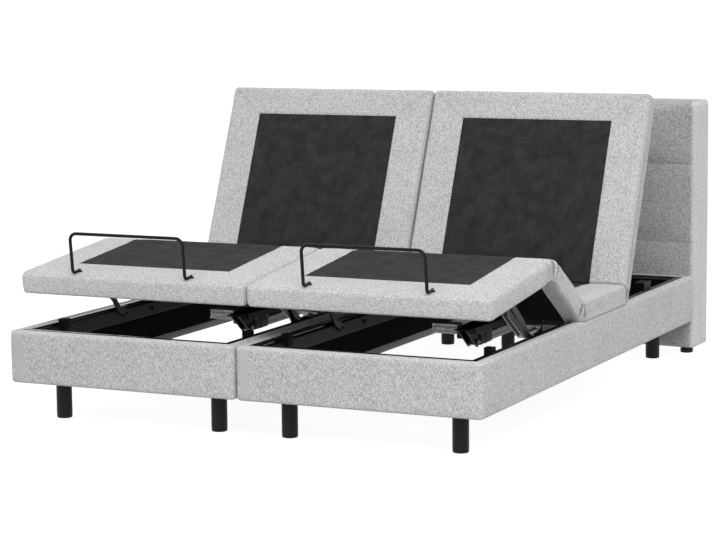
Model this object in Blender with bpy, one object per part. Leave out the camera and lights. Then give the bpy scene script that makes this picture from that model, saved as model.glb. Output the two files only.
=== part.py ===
"""Split adjustable bed base: two single lifting bases side by side in front of one upholstered headboard.

Metres. +X is the right-hand side seen from the foot end, +Y runs to the headboard, +Z is up.
The origin is on the floor, at the middle of the width and of the whole depth. The back, thigh
and calf sections stand raised, as stored at rest. Every part of a base is drawn in the frame of
that base (x from its middle, y from the foot face, z from the floor), with the bed flat, and its
object is then turned about the hinge that it rides on.
"""

import math

import bmesh
import bpy
from mathutils import Matrix, Vector

for old in list(bpy.data.objects):
    bpy.data.objects.remove(old, do_unlink=True)

# ---------------------------------------------------------------- driving dimensions
OVERALL_DEPTH = 2.180
BASE_LENGTH = 2.000
BASE_HALF = 0.3985
BASE_CENTRE = 0.4015
GAP = 0.0003

RAIL_BOTTOM = 0.125
RAIL_TOP = 0.290
RAIL_THICK = 0.045
RAIL_CORNER = 0.018
RAIL_EDGE = 0.006

LEG_RADIUS = 0.0248
LEG_X = 0.280
LEG_FOOT_Y = 0.124
LEG_HEAD_Y = 1.895

DECK_HALF = 0.3955
DECK_BOTTOM = 0.2904
DECK_THICK = 0.072
DECK_EDGE = 0.007
HINGE_UP = 0.012
HINGE_GAP = 0.001
CALF_FOOT_Y = 0.030
KNEE_Y = 0.533
THIGH_HINGE_Y = 0.832
BACK_HINGE_Y = 1.277
BACK_HEAD_Y = 1.984

BACK_RAISE = math.radians(67.2)
THIGH_RAISE = math.radians(32.0)
CALF_TILT = math.radians(6.15)
BACK_MITRE = math.radians(36.0)
SEAT_MITRE = math.radians(18.2)
KNEE_MITRE = math.radians(21.8)

MEMBER_INNER = 0.334
MEMBER_OUTER = BASE_HALF - RAIL_THICK - GAP
MEMBER_Z = (0.235, 0.278)
PLATE_THICK = 0.004
BUMPER_X = (0.3205, 0.3465)
BUMPER_Y = (0.203, 0.233)
BUMPER_Z = (0.262, 0.300)
STOP_X = (0.312, 0.3495)
STOP_Y = (1.590, 1.660)
STOP_TOP = 0.314
POCKET_ROOM = 0.008

LINK_X = (0.3222, 0.3278)
LINK_PIVOT = (0.5850, 0.2647)
LINK_PIN_FLAT = (0.3468, 0.2723)
LINK_SWING = math.radians(36.04)
LINK_HALF_WIDTH = 0.010
LINK_EYE = 0.013

TUBE_SIDE = 0.025
TUBE_TOP = 0.288
FRONT_TUBE_Y = 0.900
REAR_TUBE_Y = 1.4375

HEAD_DRIVE_X = 0.104
HEAD_DRIVE_PIVOT = (0.636, 0.240)
HEAD_PIN_ARM = 0.066
HEAD_PIN_ANGLE = math.radians(-120.0)
HEAD_DRIVE_TILT = math.radians(0.44)
HEAD_ROD_LENGTH = 0.240

LEG_DRIVE_X = 0.200
LEG_DRIVE_PIVOT = (1.395, 0.2395)
LEG_PIN = (0.0159, -0.0632)
LEG_DRIVE_TILT = math.radians(0.04)
LEG_ROD_LENGTH = 0.240

BAR_RADIUS = 0.0045
BAR_HALF = 0.200
BAR_HEIGHT = 0.137
BAR_CORNER = 0.023
BAR_INSET = -0.0035
BAR_FOOT = 0.036

HEADBOARD_HALF = 0.800
HEADBOARD_BOTTOM = 0.022
HEADBOARD_TOP = 0.921
HEADBOARD_FRONT = 2.004
HEADBOARD_SPLIT = 2.092
GLIDE_X = 0.758

HINGE_Z = DECK_BOTTOM + HINGE_UP
DECK_TOP = DECK_BOTTOM + DECK_THICK
ROUND_STEPS = 24


# ---------------------------------------------------------------- materials
def material(name, colour, roughness, metallic=0.0):
    made = bpy.data.materials.new(name)
    made.use_nodes = True
    shader = made.node_tree.nodes["Principled BSDF"]
    shader.inputs["Base Color"].default_value = (*colour, 1.0)
    shader.inputs["Roughness"].default_value = roughness
    shader.inputs["Metallic"].default_value = metallic
    return made


def finish(kind, name):
    """A material of its own for one object."""
    looks = {
        "melange": ((0.50, 0.49, 0.50), 0.95, 0.0),
        "lining": ((0.035, 0.036, 0.037), 0.90, 0.0),
        "steel_black": ((0.020, 0.020, 0.021), 0.45, 0.6),
        "steel_grey": ((0.055, 0.056, 0.055), 0.50, 0.5),
        "zinc": ((0.42, 0.42, 0.40), 0.40, 0.9),
        "aluminium": ((0.52, 0.52, 0.51), 0.38, 1.0),
        "plastic": ((0.015, 0.015, 0.016), 0.50, 0.0),
        "board": ((0.40, 0.39, 0.40), 0.95, 0.0),
    }
    return material("mat_" + name, *looks[kind])


# ---------------------------------------------------------------- outlines
def rectangle(a0, a1, b0, b1):
    return [(a0, b0), (a1, b0), (a1, b1), (a0, b1)]


def circle(centre, radius, steps=ROUND_STEPS):
    turns = [2.0 * math.pi * (i + 0.5) / steps for i in range(steps)]
    return [(centre[0] + radius * math.cos(t), centre[1] + radius * math.sin(t)) for t in turns]


def hull(points):
    """Convex outline round the points, counter-clockwise."""
    points = sorted(set(points))

    def half(ordered):
        kept = []
        for p in ordered:
            while len(kept) > 1:
                (ax, ay), (bx, by) = kept[-2], kept[-1]
                if (bx - ax) * (p[1] - ay) - (by - ay) * (p[0] - ax) > 1e-12:
                    break
                kept.pop()
            kept.append(p)
        return kept[:-1]

    return half(points) + half(points[::-1])


def strap(path, half_width, steps=10):
    """Flat bar of even width along a bent path, with round ends."""
    def heading(i, j):
        return math.atan2(path[j][1] - path[i][1], path[j][0] - path[i][0])

    count = len(path)
    left = []
    right = []
    for i in range(1, count - 1):
        before = heading(i - 1, i)
        after = heading(i, i + 1)
        middle = 0.5 * (before + after)
        reach = half_width / math.cos(0.5 * (after - before))
        offset = (-math.sin(middle) * reach, math.cos(middle) * reach)
        left.append((path[i][0] + offset[0], path[i][1] + offset[1]))
        right.append((path[i][0] - offset[0], path[i][1] - offset[1]))
    start = heading(0, 1)
    end = heading(count - 2, count - 1)
    cap_end = []
    cap_start = []
    for i in range(steps + 1):
        turn = math.pi * i / steps
        angle_end = end - 0.5 * math.pi + turn
        angle_start = start + 0.5 * math.pi + turn
        cap_end.append((
            path[-1][0] + half_width * math.cos(angle_end),
            path[-1][1] + half_width * math.sin(angle_end),
        ))
        cap_start.append((
            path[0][0] + half_width * math.cos(angle_start),
            path[0][1] + half_width * math.sin(angle_start),
        ))
    return right + cap_end + left[::-1] + cap_start


def rounded_corners(x0, x1, y0, y1, radii, steps=6):
    """Rectangle whose corners (x0y0, x1y0, x1y1, x0y1) have the given radii."""
    outline = []
    corners = [(x0, y0, 180.0), (x1, y0, 270.0), (x1, y1, 0.0), (x0, y1, 90.0)]
    for (cx, cy, start), radius in zip(corners, radii):
        if radius <= 0.0:
            outline.append((cx, cy))
            continue
        mx = cx + radius if cx == x0 else cx - radius
        my = cy + radius if cy == y0 else cy - radius
        for i in range(steps + 1):
            turn = math.radians(start + 90.0 * i / steps)
            outline.append((mx + radius * math.cos(turn), my + radius * math.sin(turn)))
    return outline


# ---------------------------------------------------------------- solids
class Place:
    """Where a piece rides: the base it belongs to, the hinge it turns about and its angle at rest."""

    def __init__(self, centre_x, pivot_y=0.0, pivot_z=0.0, angle=0.0, at=None):
        self.centre_x = centre_x
        self.drawn_from = (pivot_y, pivot_z)
        self.at = at if at else (pivot_y, pivot_z)
        self.angle = angle

    def matrix(self):
        spot = (self.centre_x, self.at[0] - 0.5 * OVERALL_DEPTH, self.at[1])
        return Matrix.Translation(spot) @ Matrix.Rotation(self.angle, 4, "X")


def extrude(axis, outline, low, high):
    """Points and faces of a straight solid: outline in the plane across the axis."""
    count = len(outline)
    points = []
    for level in (low, high):
        for a, b in outline:
            if axis == "X":
                points.append((level, a, b))
            elif axis == "Y":
                points.append((a, level, b))
            else:
                points.append((a, b, level))
    faces = [list(range(count)), list(range(2 * count - 1, count - 1, -1))]
    for i in range(count):
        j = (i + 1) % count
        faces.append([i, i + count, j + count, j])
    return points, faces


def sweep(path, radius, steps=12):
    """Points and faces of a round bar along a path, with flat ends."""
    points = []
    faces = []
    count = len(path)
    for i, centre in enumerate(path):
        before = path[max(i - 1, 0)]
        after = path[min(i + 1, count - 1)]
        along = (after - before).normalized()
        side = along.orthogonal() if i == 0 else (side - along * side.dot(along))
        side.normalize()
        over = along.cross(side)
        for k in range(steps):
            turn = 2.0 * math.pi * k / steps
            points.append(tuple(centre + radius * (math.cos(turn) * side + math.sin(turn) * over)))
    for i in range(count - 1):
        for k in range(steps):
            m = (k + 1) % steps
            a = i * steps
            b = (i + 1) * steps
            faces.append([a + k, b + k, b + m, a + m])
    faces.append(list(range(steps)))
    faces.append([(count - 1) * steps + k for k in range(steps)][::-1])
    return points, faces


def mesh_object(name, shape, place, bevel=0.0, segments=2):
    points, faces = shape
    from_y, from_z = place.drawn_from
    mesh = bpy.data.meshes.new(name)
    work = bmesh.new()
    corners = [work.verts.new((x, y - from_y, z - from_z)) for x, y, z in points]
    for face in faces:
        work.faces.new([corners[i] for i in face])
    bmesh.ops.recalc_face_normals(work, faces=work.faces)
    work.to_mesh(mesh)
    work.free()
    for polygon in mesh.polygons:
        polygon.use_smooth = True
    mesh.set_sharp_from_angle(angle=math.radians(28.0))
    made = bpy.data.objects.new(name, mesh)
    made.matrix_world = place.matrix()
    bpy.context.collection.objects.link(made)
    if bevel > 0.0:
        edge = made.modifiers.new("edge", "BEVEL")
        edge.width = bevel
        edge.segments = segments
        edge.limit_method = "ANGLE"
        edge.angle_limit = math.radians(40.0)
    return made


def boolean(target, tool, operation, index):
    tool.hide_render = True
    tool.display_type = "WIRE"
    step = target.modifiers.new(f"{operation.lower()}_{index}", "BOOLEAN")
    step.operation = operation
    step.solver = "EXACT"
    step.object = tool


def node(name, kind, place, shape, bevel=0.0, add=(), cut=(), segments=2):
    """One named piece: a first solid, others joined to it, then others cut out of it."""
    made = mesh_object(name, shape, place, bevel, segments)
    made.data.materials.append(finish(kind, name))
    for index, extra in enumerate(add):
        boolean(made, mesh_object(f"{name}_add{index}", extra, place), "UNION", index)
    for index, hole in enumerate(cut):
        boolean(made, mesh_object(f"{name}_cut{index}", hole, place), "DIFFERENCE", index)
    return made


def box(x0, x1, y0, y1, z0, z1):
    return extrude("Z", rectangle(min(x0, x1), max(x0, x1), y0, y1), z0, z1)


def across(outline, x0, x1):
    return extrude("X", outline, min(x0, x1), max(x0, x1))


def round_bar(centre, radius, x0, x1, steps=ROUND_STEPS):
    return across(circle(centre, radius, steps), x0, x1)


def upright(x, y, radius, z0, z1, steps=ROUND_STEPS):
    return extrude("Z", circle((x, y), radius, steps), z0, z1)


# ---------------------------------------------------------------- the upholstered box of one base
def box_frame(tag, fixed, outer):
    inside = BASE_HALF - RAIL_THICK
    foot = rounded_corners(
        -BASE_HALF, BASE_HALF, 0.0, RAIL_THICK, (RAIL_CORNER, RAIL_CORNER, 0.0, 0.0))
    head = rounded_corners(
        -BASE_HALF, BASE_HALF, BASE_LENGTH - RAIL_THICK, BASE_LENGTH,
        (0.0, 0.0, RAIL_CORNER, RAIL_CORNER))
    node(f"{tag}_foot_rail", "melange", fixed, extrude("Z", foot, RAIL_BOTTOM, RAIL_TOP), RAIL_EDGE)
    node(f"{tag}_head_rail", "melange", fixed, extrude("Z", head, RAIL_BOTTOM, RAIL_TOP), RAIL_EDGE)
    for side, sign in (("outer", outer), ("inner", -outer)):
        rail = box(
            sign * inside, sign * BASE_HALF, RAIL_THICK + GAP, BASE_LENGTH - RAIL_THICK - GAP,
            RAIL_BOTTOM, RAIL_TOP)
        node(f"{tag}_rail_{side}", "melange", fixed, rail, RAIL_EDGE)


def legs(tag, fixed, outer):
    for end, y in (("foot", LEG_FOOT_Y), ("head", LEG_HEAD_Y)):
        for side, sign in (("outer", outer), ("inner", -outer)):
            shape = upright(sign * LEG_X, y, LEG_RADIUS, 0.0, RAIL_BOTTOM + GAP, 32)
            node(f"{tag}_leg_{end}_{side}", "plastic", fixed, shape, 0.002)


# ---------------------------------------------------------------- steel chassis
def side_member(tag, fixed, side, sign):
    """Steel bar along the rail, with its corner plates, rubber bumper, stop and link pin."""
    low = RAIL_THICK + 2.0 * GAP
    high = BASE_LENGTH - RAIL_THICK - 2.0 * GAP
    plate_z = (RAIL_BOTTOM + 2.0 * GAP, RAIL_BOTTOM + 2.0 * GAP + PLATE_THICK)
    extras = []
    for y in (LEG_FOOT_Y, LEG_HEAD_Y):
        y0 = max(y - 0.066, low)
        y1 = min(y + 0.066, high)
        extras.append(box(sign * 0.235, sign * MEMBER_OUTER, y0, y1, *plate_z))
        web = (MEMBER_OUTER - PLATE_THICK) * sign
        extras.append(box(
            web, sign * MEMBER_OUTER, y0, y1, plate_z[0], 0.5 * (MEMBER_Z[0] + MEMBER_Z[1])))
    extras.append(box(sign * BUMPER_X[0], sign * BUMPER_X[1], *BUMPER_Y, *BUMPER_Z))
    extras.append(box(sign * 0.336, sign * 0.351, 0.565, 0.607, MEMBER_Z[0] + 0.010, 0.2892))
    extras.append(box(sign * 0.3455, sign * 0.3495, *STOP_Y, 0.250, STOP_TOP))
    extras.append(box(sign * STOP_X[0], sign * 0.3475, *STOP_Y, STOP_TOP - 0.004, STOP_TOP))
    extras.append(round_bar(LINK_PIVOT, 0.006, sign * 0.3190, sign * 0.340))
    extras.append(round_bar(LINK_PIVOT, 0.011, sign * 0.3281, sign * 0.339))
    extras.append(round_bar((0.770, 0.2565), 0.006, sign * 0.328, sign * 0.340, 16))
    bar = box(sign * MEMBER_INNER, sign * MEMBER_OUTER, low, high, *MEMBER_Z)
    node(f"{tag}_side_member_{side}", "steel_grey", fixed, bar, 0.002, extras)


def tube(centre_y, half_length):
    return box(
        -half_length, half_length, centre_y - 0.5 * TUBE_SIDE, centre_y + 0.5 * TUBE_SIDE,
        TUBE_TOP - TUBE_SIDE, TUBE_TOP)


def cross_tubes(tag, fixed):
    reach = MEMBER_INNER - GAP
    cheek = 0.004
    pivot = HEAD_DRIVE_PIVOT
    lobe = hull(circle((pivot[0] + 0.002, pivot[1] - 0.0055), 0.0125) + [
        (0.548, 0.2872), (0.650, 0.2872), (0.650, 0.262)])
    extras = [box(
        HEAD_DRIVE_X - 0.0265, HEAD_DRIVE_X + 0.0265, 0.548, FRONT_TUBE_Y, 0.2845, TUBE_TOP)]
    for sign in (-1.0, 1.0):
        inner = HEAD_DRIVE_X + sign * 0.0120
        extras.append(across(lobe, inner, inner + sign * cheek))
        rib = rectangle(0.600, FRONT_TUBE_Y - 0.004, 0.2655, 0.2870)
        extras.append(across(rib, HEAD_DRIVE_X + sign * 0.0225, HEAD_DRIVE_X + sign * 0.0262))
        extras.append(round_bar(
            pivot, 0.0085, HEAD_DRIVE_X + sign * 0.0155, HEAD_DRIVE_X + sign * 0.0190, 16))
    extras.append(round_bar(
        pivot, 0.005, HEAD_DRIVE_X - 0.0215, HEAD_DRIVE_X + 0.0215, 16))
    node(
        f"{tag}_cross_tube_front", "steel_black", fixed, tube(FRONT_TUBE_Y, reach), 0.002, extras)

    pivot = LEG_DRIVE_PIVOT
    lobe = hull(circle(pivot, 0.013) + [
        (REAR_TUBE_Y - 0.008, TUBE_TOP - 0.002), (REAR_TUBE_Y - 0.008, TUBE_TOP - 0.022),
        (1.398, TUBE_TOP - 0.002)])
    extras = []
    for sign in (-1.0, 1.0):
        inner = LEG_DRIVE_X + sign * 0.0190
        extras.append(across(lobe, inner, inner + sign * cheek))
    extras.append(round_bar(
        pivot, 0.005, LEG_DRIVE_X - 0.0270, LEG_DRIVE_X + 0.0270, 16))
    node(f"{tag}_cross_tube_rear", "steel_black", fixed, tube(REAR_TUBE_Y, reach), 0.002, extras)


def control_box(tag, fixed):
    shape = box(-0.190, -0.060, 0.985, 1.165, 0.2520, DECK_BOTTOM - GAP)
    node(f"{tag}_control_box", "plastic", fixed, shape, 0.004)


# ---------------------------------------------------------------- upholstered deck sections
def deck_outline(y0, y1, end0, end1):
    """Side view of a section. An end is None (square) or (mitre angle, 'top' or 'bottom')."""
    def end_points(y, sign, end):
        if end is None:
            return [(y, DECK_BOTTOM), (y, DECK_TOP)]
        mitre, where = end
        near = y + sign * HINGE_GAP
        if where == "top":
            back = near + sign * (DECK_TOP - HINGE_Z) * math.tan(mitre)
            return [(near, DECK_BOTTOM), (near, HINGE_Z), (back, DECK_TOP)]
        back = near + sign * HINGE_UP * math.tan(mitre)
        return [(back, DECK_BOTTOM), (near, HINGE_Z), (near, DECK_TOP)]

    low = end_points(y0, 1.0, end0)
    high = end_points(y1, -1.0, end1)
    return high + low[::-1]


def deck(tag, name, place, y0, y1, end0=None, end1=None, cut=()):
    shape = across(deck_outline(y0, y1, end0, end1), -DECK_HALF, DECK_HALF)
    node(f"{tag}_{name}", "melange", place, shape, DECK_EDGE, (), cut, 3)


def bumper_pockets(x_range, y_range, top):
    room = POCKET_ROOM
    return [
        box(
            sign * (x_range[0] - room), sign * (x_range[1] + room), y_range[0] - room,
            y_range[1] + room, DECK_BOTTOM - 0.02, top + room)
        for sign in (-1.0, 1.0)
    ]


def deck_sections(tag, fixed, thigh, calf, back):
    deck(
        tag, "seat_section", fixed, THIGH_HINGE_Y, BACK_HINGE_Y, (SEAT_MITRE, "top"),
        (BACK_MITRE, "top"))
    deck(
        tag, "back_section", back, BACK_HINGE_Y, BACK_HEAD_Y, (BACK_MITRE, "top"), None,
        bumper_pockets(STOP_X, STOP_Y, STOP_TOP))
    deck(
        tag, "thigh_section", thigh, KNEE_Y, THIGH_HINGE_Y, (KNEE_MITRE, "bottom"),
        (SEAT_MITRE, "top"))
    deck(
        tag, "calf_section", calf, CALF_FOOT_Y, KNEE_Y, None, (KNEE_MITRE, "bottom"),
        bumper_pockets(BUMPER_X, BUMPER_Y, BUMPER_Z[1]))


# ---------------------------------------------------------------- pieces under the sections
def back_lever(tag, back):
    under = DECK_BOTTOM - GAP
    pin = (
        BACK_HINGE_Y + HEAD_PIN_ARM * math.cos(HEAD_PIN_ANGLE),
        HINGE_Z + HEAD_PIN_ARM * math.sin(HEAD_PIN_ANGLE),
    )
    plate = box(
        HEAD_DRIVE_X - 0.034, HEAD_DRIVE_X + 0.034, BACK_HINGE_Y + 0.024, BACK_HINGE_Y + 0.100,
        under - 0.004, under)
    cheek = hull(circle(pin, 0.012) + [
        (BACK_HINGE_Y + 0.026, under - 0.002), (BACK_HINGE_Y + 0.096, under - 0.002)])
    extras = [
        across(cheek, HEAD_DRIVE_X + sign * 0.0150, HEAD_DRIVE_X + sign * 0.0195)
        for sign in (-1.0, 1.0)
    ]
    extras.append(round_bar(pin, 0.005, HEAD_DRIVE_X - 0.0240, HEAD_DRIVE_X + 0.0240, 16))
    node(f"{tag}_back_lever", "steel_black", back, plate, 0.0, extras)
    return pin


def thigh_lever(tag, thigh):
    under = DECK_BOTTOM - GAP
    pin = (THIGH_HINGE_Y + LEG_PIN[0], HINGE_Z + LEG_PIN[1])
    plate = box(
        LEG_DRIVE_X - 0.030, LEG_DRIVE_X + 0.030, THIGH_HINGE_Y - 0.215, THIGH_HINGE_Y - 0.130,
        under - 0.004, under)
    arm = strap([
        (THIGH_HINGE_Y - 0.172, under - 0.012), (THIGH_HINGE_Y - 0.140, pin[1] + 0.003), pin,
    ], 0.0115)
    extras = [
        across(arm, LEG_DRIVE_X + sign * 0.0070, LEG_DRIVE_X + sign * 0.0110)
        for sign in (-1.0, 1.0)
    ]
    extras.append(round_bar(pin, 0.005, LEG_DRIVE_X - 0.0150, LEG_DRIVE_X + 0.0150, 16))
    node(f"{tag}_thigh_lever", "zinc", thigh, plate, 0.0, extras)
    return pin


def calf_frame(tag, calf):
    """Tube under the calf section whose end pins carry the two calf links."""
    y, z = LINK_PIN_FLAT
    top = DECK_BOTTOM - GAP
    bar = box(-0.316, 0.316, y - 0.5 * TUBE_SIDE, y + 0.5 * TUBE_SIDE, top - TUBE_SIDE, top)
    pins = [round_bar((y, z), 0.005, sign * 0.300, sign * 0.3320, 16) for sign in (-1.0, 1.0)]
    node(f"{tag}_calf_frame", "steel_black", calf, bar, 0.002, pins)


def retainer_bar(tag, calf):
    """Round bar that stops the mattress from sliding off the foot end."""
    y = CALF_FOOT_Y + BAR_INSET
    base = DECK_TOP + BAR_RADIUS + GAP
    top = DECK_TOP + BAR_HEIGHT
    turns = 6
    foot_bend = 0.010
    path = []
    for sign in (-1.0, 1.0):
        side = [Vector((sign * BAR_HALF, y + BAR_FOOT, base))]
        for i in range(turns + 1):
            a = 0.5 * math.pi * i / turns
            side.append(Vector((
                sign * BAR_HALF, y + foot_bend * (1.0 - math.sin(a)),
                base + foot_bend * (1.0 - math.cos(a)))))
        for i in range(turns + 1):
            a = 0.5 * math.pi * i / turns
            side.append(Vector((
                sign * (BAR_HALF - BAR_CORNER * (1.0 - math.cos(a))), y,
                top - BAR_RADIUS - BAR_CORNER * (1.0 - math.sin(a)))))
        path += side if sign < 0.0 else side[::-1]
    node(f"{tag}_retainer_bar", "steel_black", calf, sweep(path, BAR_RADIUS))


def calf_links(tag, centre_x, outer):
    """Bent straps from the side members to the calf frame, drawn flat about their lower pins."""
    pivot = LINK_PIVOT
    pin = LINK_PIN_FLAT
    place = Place(centre_x, pivot[0], pivot[1], -LINK_SWING)
    outline = strap([pivot, (0.533, pivot[1] - 0.010), (0.487, pin[1] - 0.004), pin], LINK_HALF_WIDTH)
    for side, sign in (("outer", outer), ("inner", -outer)):
        x0 = sign * LINK_X[0]
        x1 = sign * LINK_X[1]
        eyes = [
            across(circle(centre, LINK_EYE), x0 + sign * 0.0002, x1 - sign * 0.0002)
            for centre in (pivot, pin)
        ]
        holes = [
            round_bar(pivot, 0.0064, x0 - sign * 0.01, x1 + sign * 0.01),
            round_bar(pin, 0.0068, x0 - sign * 0.01, x1 + sign * 0.01),
        ]
        node(f"{tag}_calf_link_{side}", "steel_black", place, across(outline, x0, x1), 0.0, eyes, holes)


# ---------------------------------------------------------------- linear drives
def channel(x, y0, y1, z, half_x, half_z):
    return across_y(rectangle(x - half_x, x + half_x, z - half_z, z + half_z), y0, y1)


def across_y(outline, y0, y1):
    return extrude("Y", outline, y0, y1)


def rod_piece(tag, name, place, x, pin, toward, length, radius, eye_half, neck):
    """Push rod with an eye round the lever pin; it slides in the housing's channel."""
    end = pin[0] + toward * length
    start = pin[0] + toward * neck
    rod = extrude("Y", circle((x, pin[1]), radius, 20), min(start, end), max(start, end))
    root = start + toward * 0.005
    eye = [
        round_bar(pin, 0.0112, x - eye_half, x + eye_half),
        box(
            x - eye_half + 0.0002, x + eye_half - 0.0002, min(pin[0], root), max(pin[0], root),
            pin[1] - 0.0058, pin[1] + 0.0058),
    ]
    hole = [round_bar(pin, 0.0053, x - 0.02, x + 0.02, 16)]
    node(f"{tag}_{name}", "aluminium", place, rod, 0.0, eye, hole)


def head_drive(tag, centre_x, pin_flat):
    """Lifts the back: gearbox and motor at the foot end, channel towards the back hinge."""
    x = HEAD_DRIVE_X
    pivot = HEAD_DRIVE_PIVOT
    z = pivot[1]
    housing = Place(centre_x, pivot[0], pivot[1], HEAD_DRIVE_TILT)
    gearbox = box(x - 0.0210, x + 0.0210, 0.6535, 0.7500, z - 0.0150, z + 0.0300)
    extras = [
        box(x - 0.0115, x + 0.0115, 0.6235, 0.6600, z - 0.0110, z + 0.0110),
        channel(x, 0.7450, 1.205, z, 0.0140, 0.0143),
        box(x - 0.1470, x - 0.0610, 0.655, 0.700, 0.2550, 0.2870),
        box(x - 0.0650, x - 0.0190, 0.660, 0.695, 0.2400, 0.2600),
        extrude("Y", circle((x - 0.0470, 0.2640), 0.0185), 0.690, 0.795),
    ]
    cuts = [
        channel(x, 0.980, 1.230, z, 0.0124, 0.0130),
        round_bar(pivot, 0.0053, x - 0.05, x + 0.05, 16),
    ]
    node(f"{tag}_head_drive_housing", "plastic", housing, gearbox, 0.004, extras, cuts)

    turned = (
        pin_flat[0] - BACK_HINGE_Y,
        pin_flat[1] - HINGE_Z,
    )
    swing = BACK_RAISE
    pin_rest = (
        BACK_HINGE_Y + turned[0] * math.cos(swing) - turned[1] * math.sin(swing),
        HINGE_Z + turned[0] * math.sin(swing) + turned[1] * math.cos(swing),
    )
    rod = Place(centre_x, pin_rest[0], pin_rest[1], HEAD_DRIVE_TILT)
    rod_piece(tag, "head_drive_rod", rod, x, pin_rest, -1.0, HEAD_ROD_LENGTH, 0.0060, 0.0105, 0.006)


def leg_drive(tag, centre_x, pin_flat):
    """Lifts the knee: motor end near the back hinge, channel towards the thigh lever."""
    x = LEG_DRIVE_X
    pivot = LEG_DRIVE_PIVOT
    z = pivot[1]
    housing = Place(centre_x, pivot[0], pivot[1], LEG_DRIVE_TILT)
    gearbox = box(x - 0.0300, x + 0.0300, 1.235, 1.368, z - 0.0225, z + 0.0215)
    extras = [
        box(x - 0.0175, x + 0.0175, 1.360, 1.4070, z - 0.0110, z + 0.0110),
        channel(x, 0.968, 1.240, z, 0.0150, 0.0150),
        upright(x, 1.302, 0.0200, 0.1500, 0.2300),
    ]
    cuts = [
        channel(x, 0.940, 1.180, z, 0.0122, 0.0122),
        round_bar(pivot, 0.0053, x - 0.05, x + 0.05, 16),
    ]
    node(f"{tag}_leg_drive_housing", "plastic", housing, gearbox, 0.004, extras, cuts)

    turned = (pin_flat[0] - THIGH_HINGE_Y, pin_flat[1] - HINGE_Z)
    swing = -THIGH_RAISE
    pin_rest = (
        THIGH_HINGE_Y + turned[0] * math.cos(swing) - turned[1] * math.sin(swing),
        HINGE_Z + turned[0] * math.sin(swing) + turned[1] * math.cos(swing),
    )
    rod = Place(centre_x, pin_rest[0], pin_rest[1], LEG_DRIVE_TILT)
    rod_piece(tag, "leg_drive_rod", rod, x, pin_rest, 1.0, LEG_ROD_LENGTH, 0.0065, 0.0062, 0.0135)


# ---------------------------------------------------------------- one base
def build_base(tag, centre_x, outer):
    fixed = Place(centre_x)
    back = Place(centre_x, BACK_HINGE_Y, HINGE_Z, BACK_RAISE)
    thigh = Place(centre_x, THIGH_HINGE_Y, HINGE_Z, -THIGH_RAISE)
    thigh_length = THIGH_HINGE_Y - KNEE_Y
    knee_rest = (
        THIGH_HINGE_Y - thigh_length * math.cos(THIGH_RAISE),
        HINGE_Z + thigh_length * math.sin(THIGH_RAISE),
    )
    calf = Place(centre_x, KNEE_Y, HINGE_Z, CALF_TILT, knee_rest)

    box_frame(tag, fixed, outer)
    legs(tag, fixed, outer)
    for side, sign in (("outer", outer), ("inner", -outer)):
        side_member(tag, fixed, side, sign)
    cross_tubes(tag, fixed)
    control_box(tag, fixed)
    deck_sections(tag, fixed, thigh, calf, back)
    calf_frame(tag, calf)
    retainer_bar(tag, calf)
    calf_links(tag, centre_x, outer)
    head_drive(tag, centre_x, back_lever(tag, back))
    leg_drive(tag, centre_x, thigh_lever(tag, thigh))


# ---------------------------------------------------------------- headboard
def headboard():
    whole = Place(0.0)
    front = rounded_corners(
        -HEADBOARD_HALF, HEADBOARD_HALF, HEADBOARD_FRONT, HEADBOARD_SPLIT - 0.5 * GAP,
        (0.030, 0.030, 0.0, 0.0))
    node(
        "headboard_front_pad", "melange", whole,
        extrude("Z", front, HEADBOARD_BOTTOM + GAP, HEADBOARD_TOP), 0.006)
    core = rectangle(
        -HEADBOARD_HALF, HEADBOARD_HALF, HEADBOARD_SPLIT + 0.5 * GAP, OVERALL_DEPTH)
    node(
        "headboard_core", "board", whole,
        extrude("Z", core, HEADBOARD_BOTTOM + GAP, HEADBOARD_TOP), 0.006)
    for side, sign in (("left", -1.0), ("right", 1.0)):
        glide = rounded_corners(
            sign * GLIDE_X - 0.020, sign * GLIDE_X + 0.020, 2.030, 2.150, (0.008,) * 4)
        node(
            f"headboard_glide_{side}", "plastic", whole,
            extrude("Z", glide, 0.0, HEADBOARD_BOTTOM), 0.0015)


build_base("left", -BASE_CENTRE, -1.0)
build_base("right", BASE_CENTRE, 1.0)
headboard()
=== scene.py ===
"""Split adjustable bed base: two single lifting bases in front of one upholstered headboard.

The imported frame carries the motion. This script dresses it: padded deck sections with a black
centre panel, the upholstered boxes, the headboard, the drives and the materials of every piece.
"""

import math

import bmesh
import bpy
from mathutils import Matrix, Vector, noise


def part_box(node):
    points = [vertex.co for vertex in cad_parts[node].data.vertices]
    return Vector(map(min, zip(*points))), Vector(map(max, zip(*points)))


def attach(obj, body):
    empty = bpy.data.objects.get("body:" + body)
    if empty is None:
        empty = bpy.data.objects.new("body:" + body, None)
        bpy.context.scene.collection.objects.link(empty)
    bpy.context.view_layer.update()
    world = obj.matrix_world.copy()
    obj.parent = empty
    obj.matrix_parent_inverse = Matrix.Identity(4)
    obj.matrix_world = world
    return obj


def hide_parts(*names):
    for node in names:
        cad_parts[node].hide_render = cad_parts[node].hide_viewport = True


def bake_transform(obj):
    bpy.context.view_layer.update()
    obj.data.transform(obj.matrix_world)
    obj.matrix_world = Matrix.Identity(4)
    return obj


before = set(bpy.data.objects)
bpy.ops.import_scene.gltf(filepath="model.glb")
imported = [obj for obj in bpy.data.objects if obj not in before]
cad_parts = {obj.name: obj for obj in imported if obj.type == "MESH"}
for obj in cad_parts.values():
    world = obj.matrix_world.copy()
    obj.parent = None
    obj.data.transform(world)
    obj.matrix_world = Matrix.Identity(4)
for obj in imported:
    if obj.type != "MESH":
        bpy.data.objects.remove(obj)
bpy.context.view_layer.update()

# ---------------------------------------------------------------- sizes, as in the CAD
DEPTH = 2.180
BASES = (("left", -0.4015, -1.0), ("right", 0.4015, 1.0))
BASE_HALF = 0.3985
BASE_LENGTH = 2.000
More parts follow.
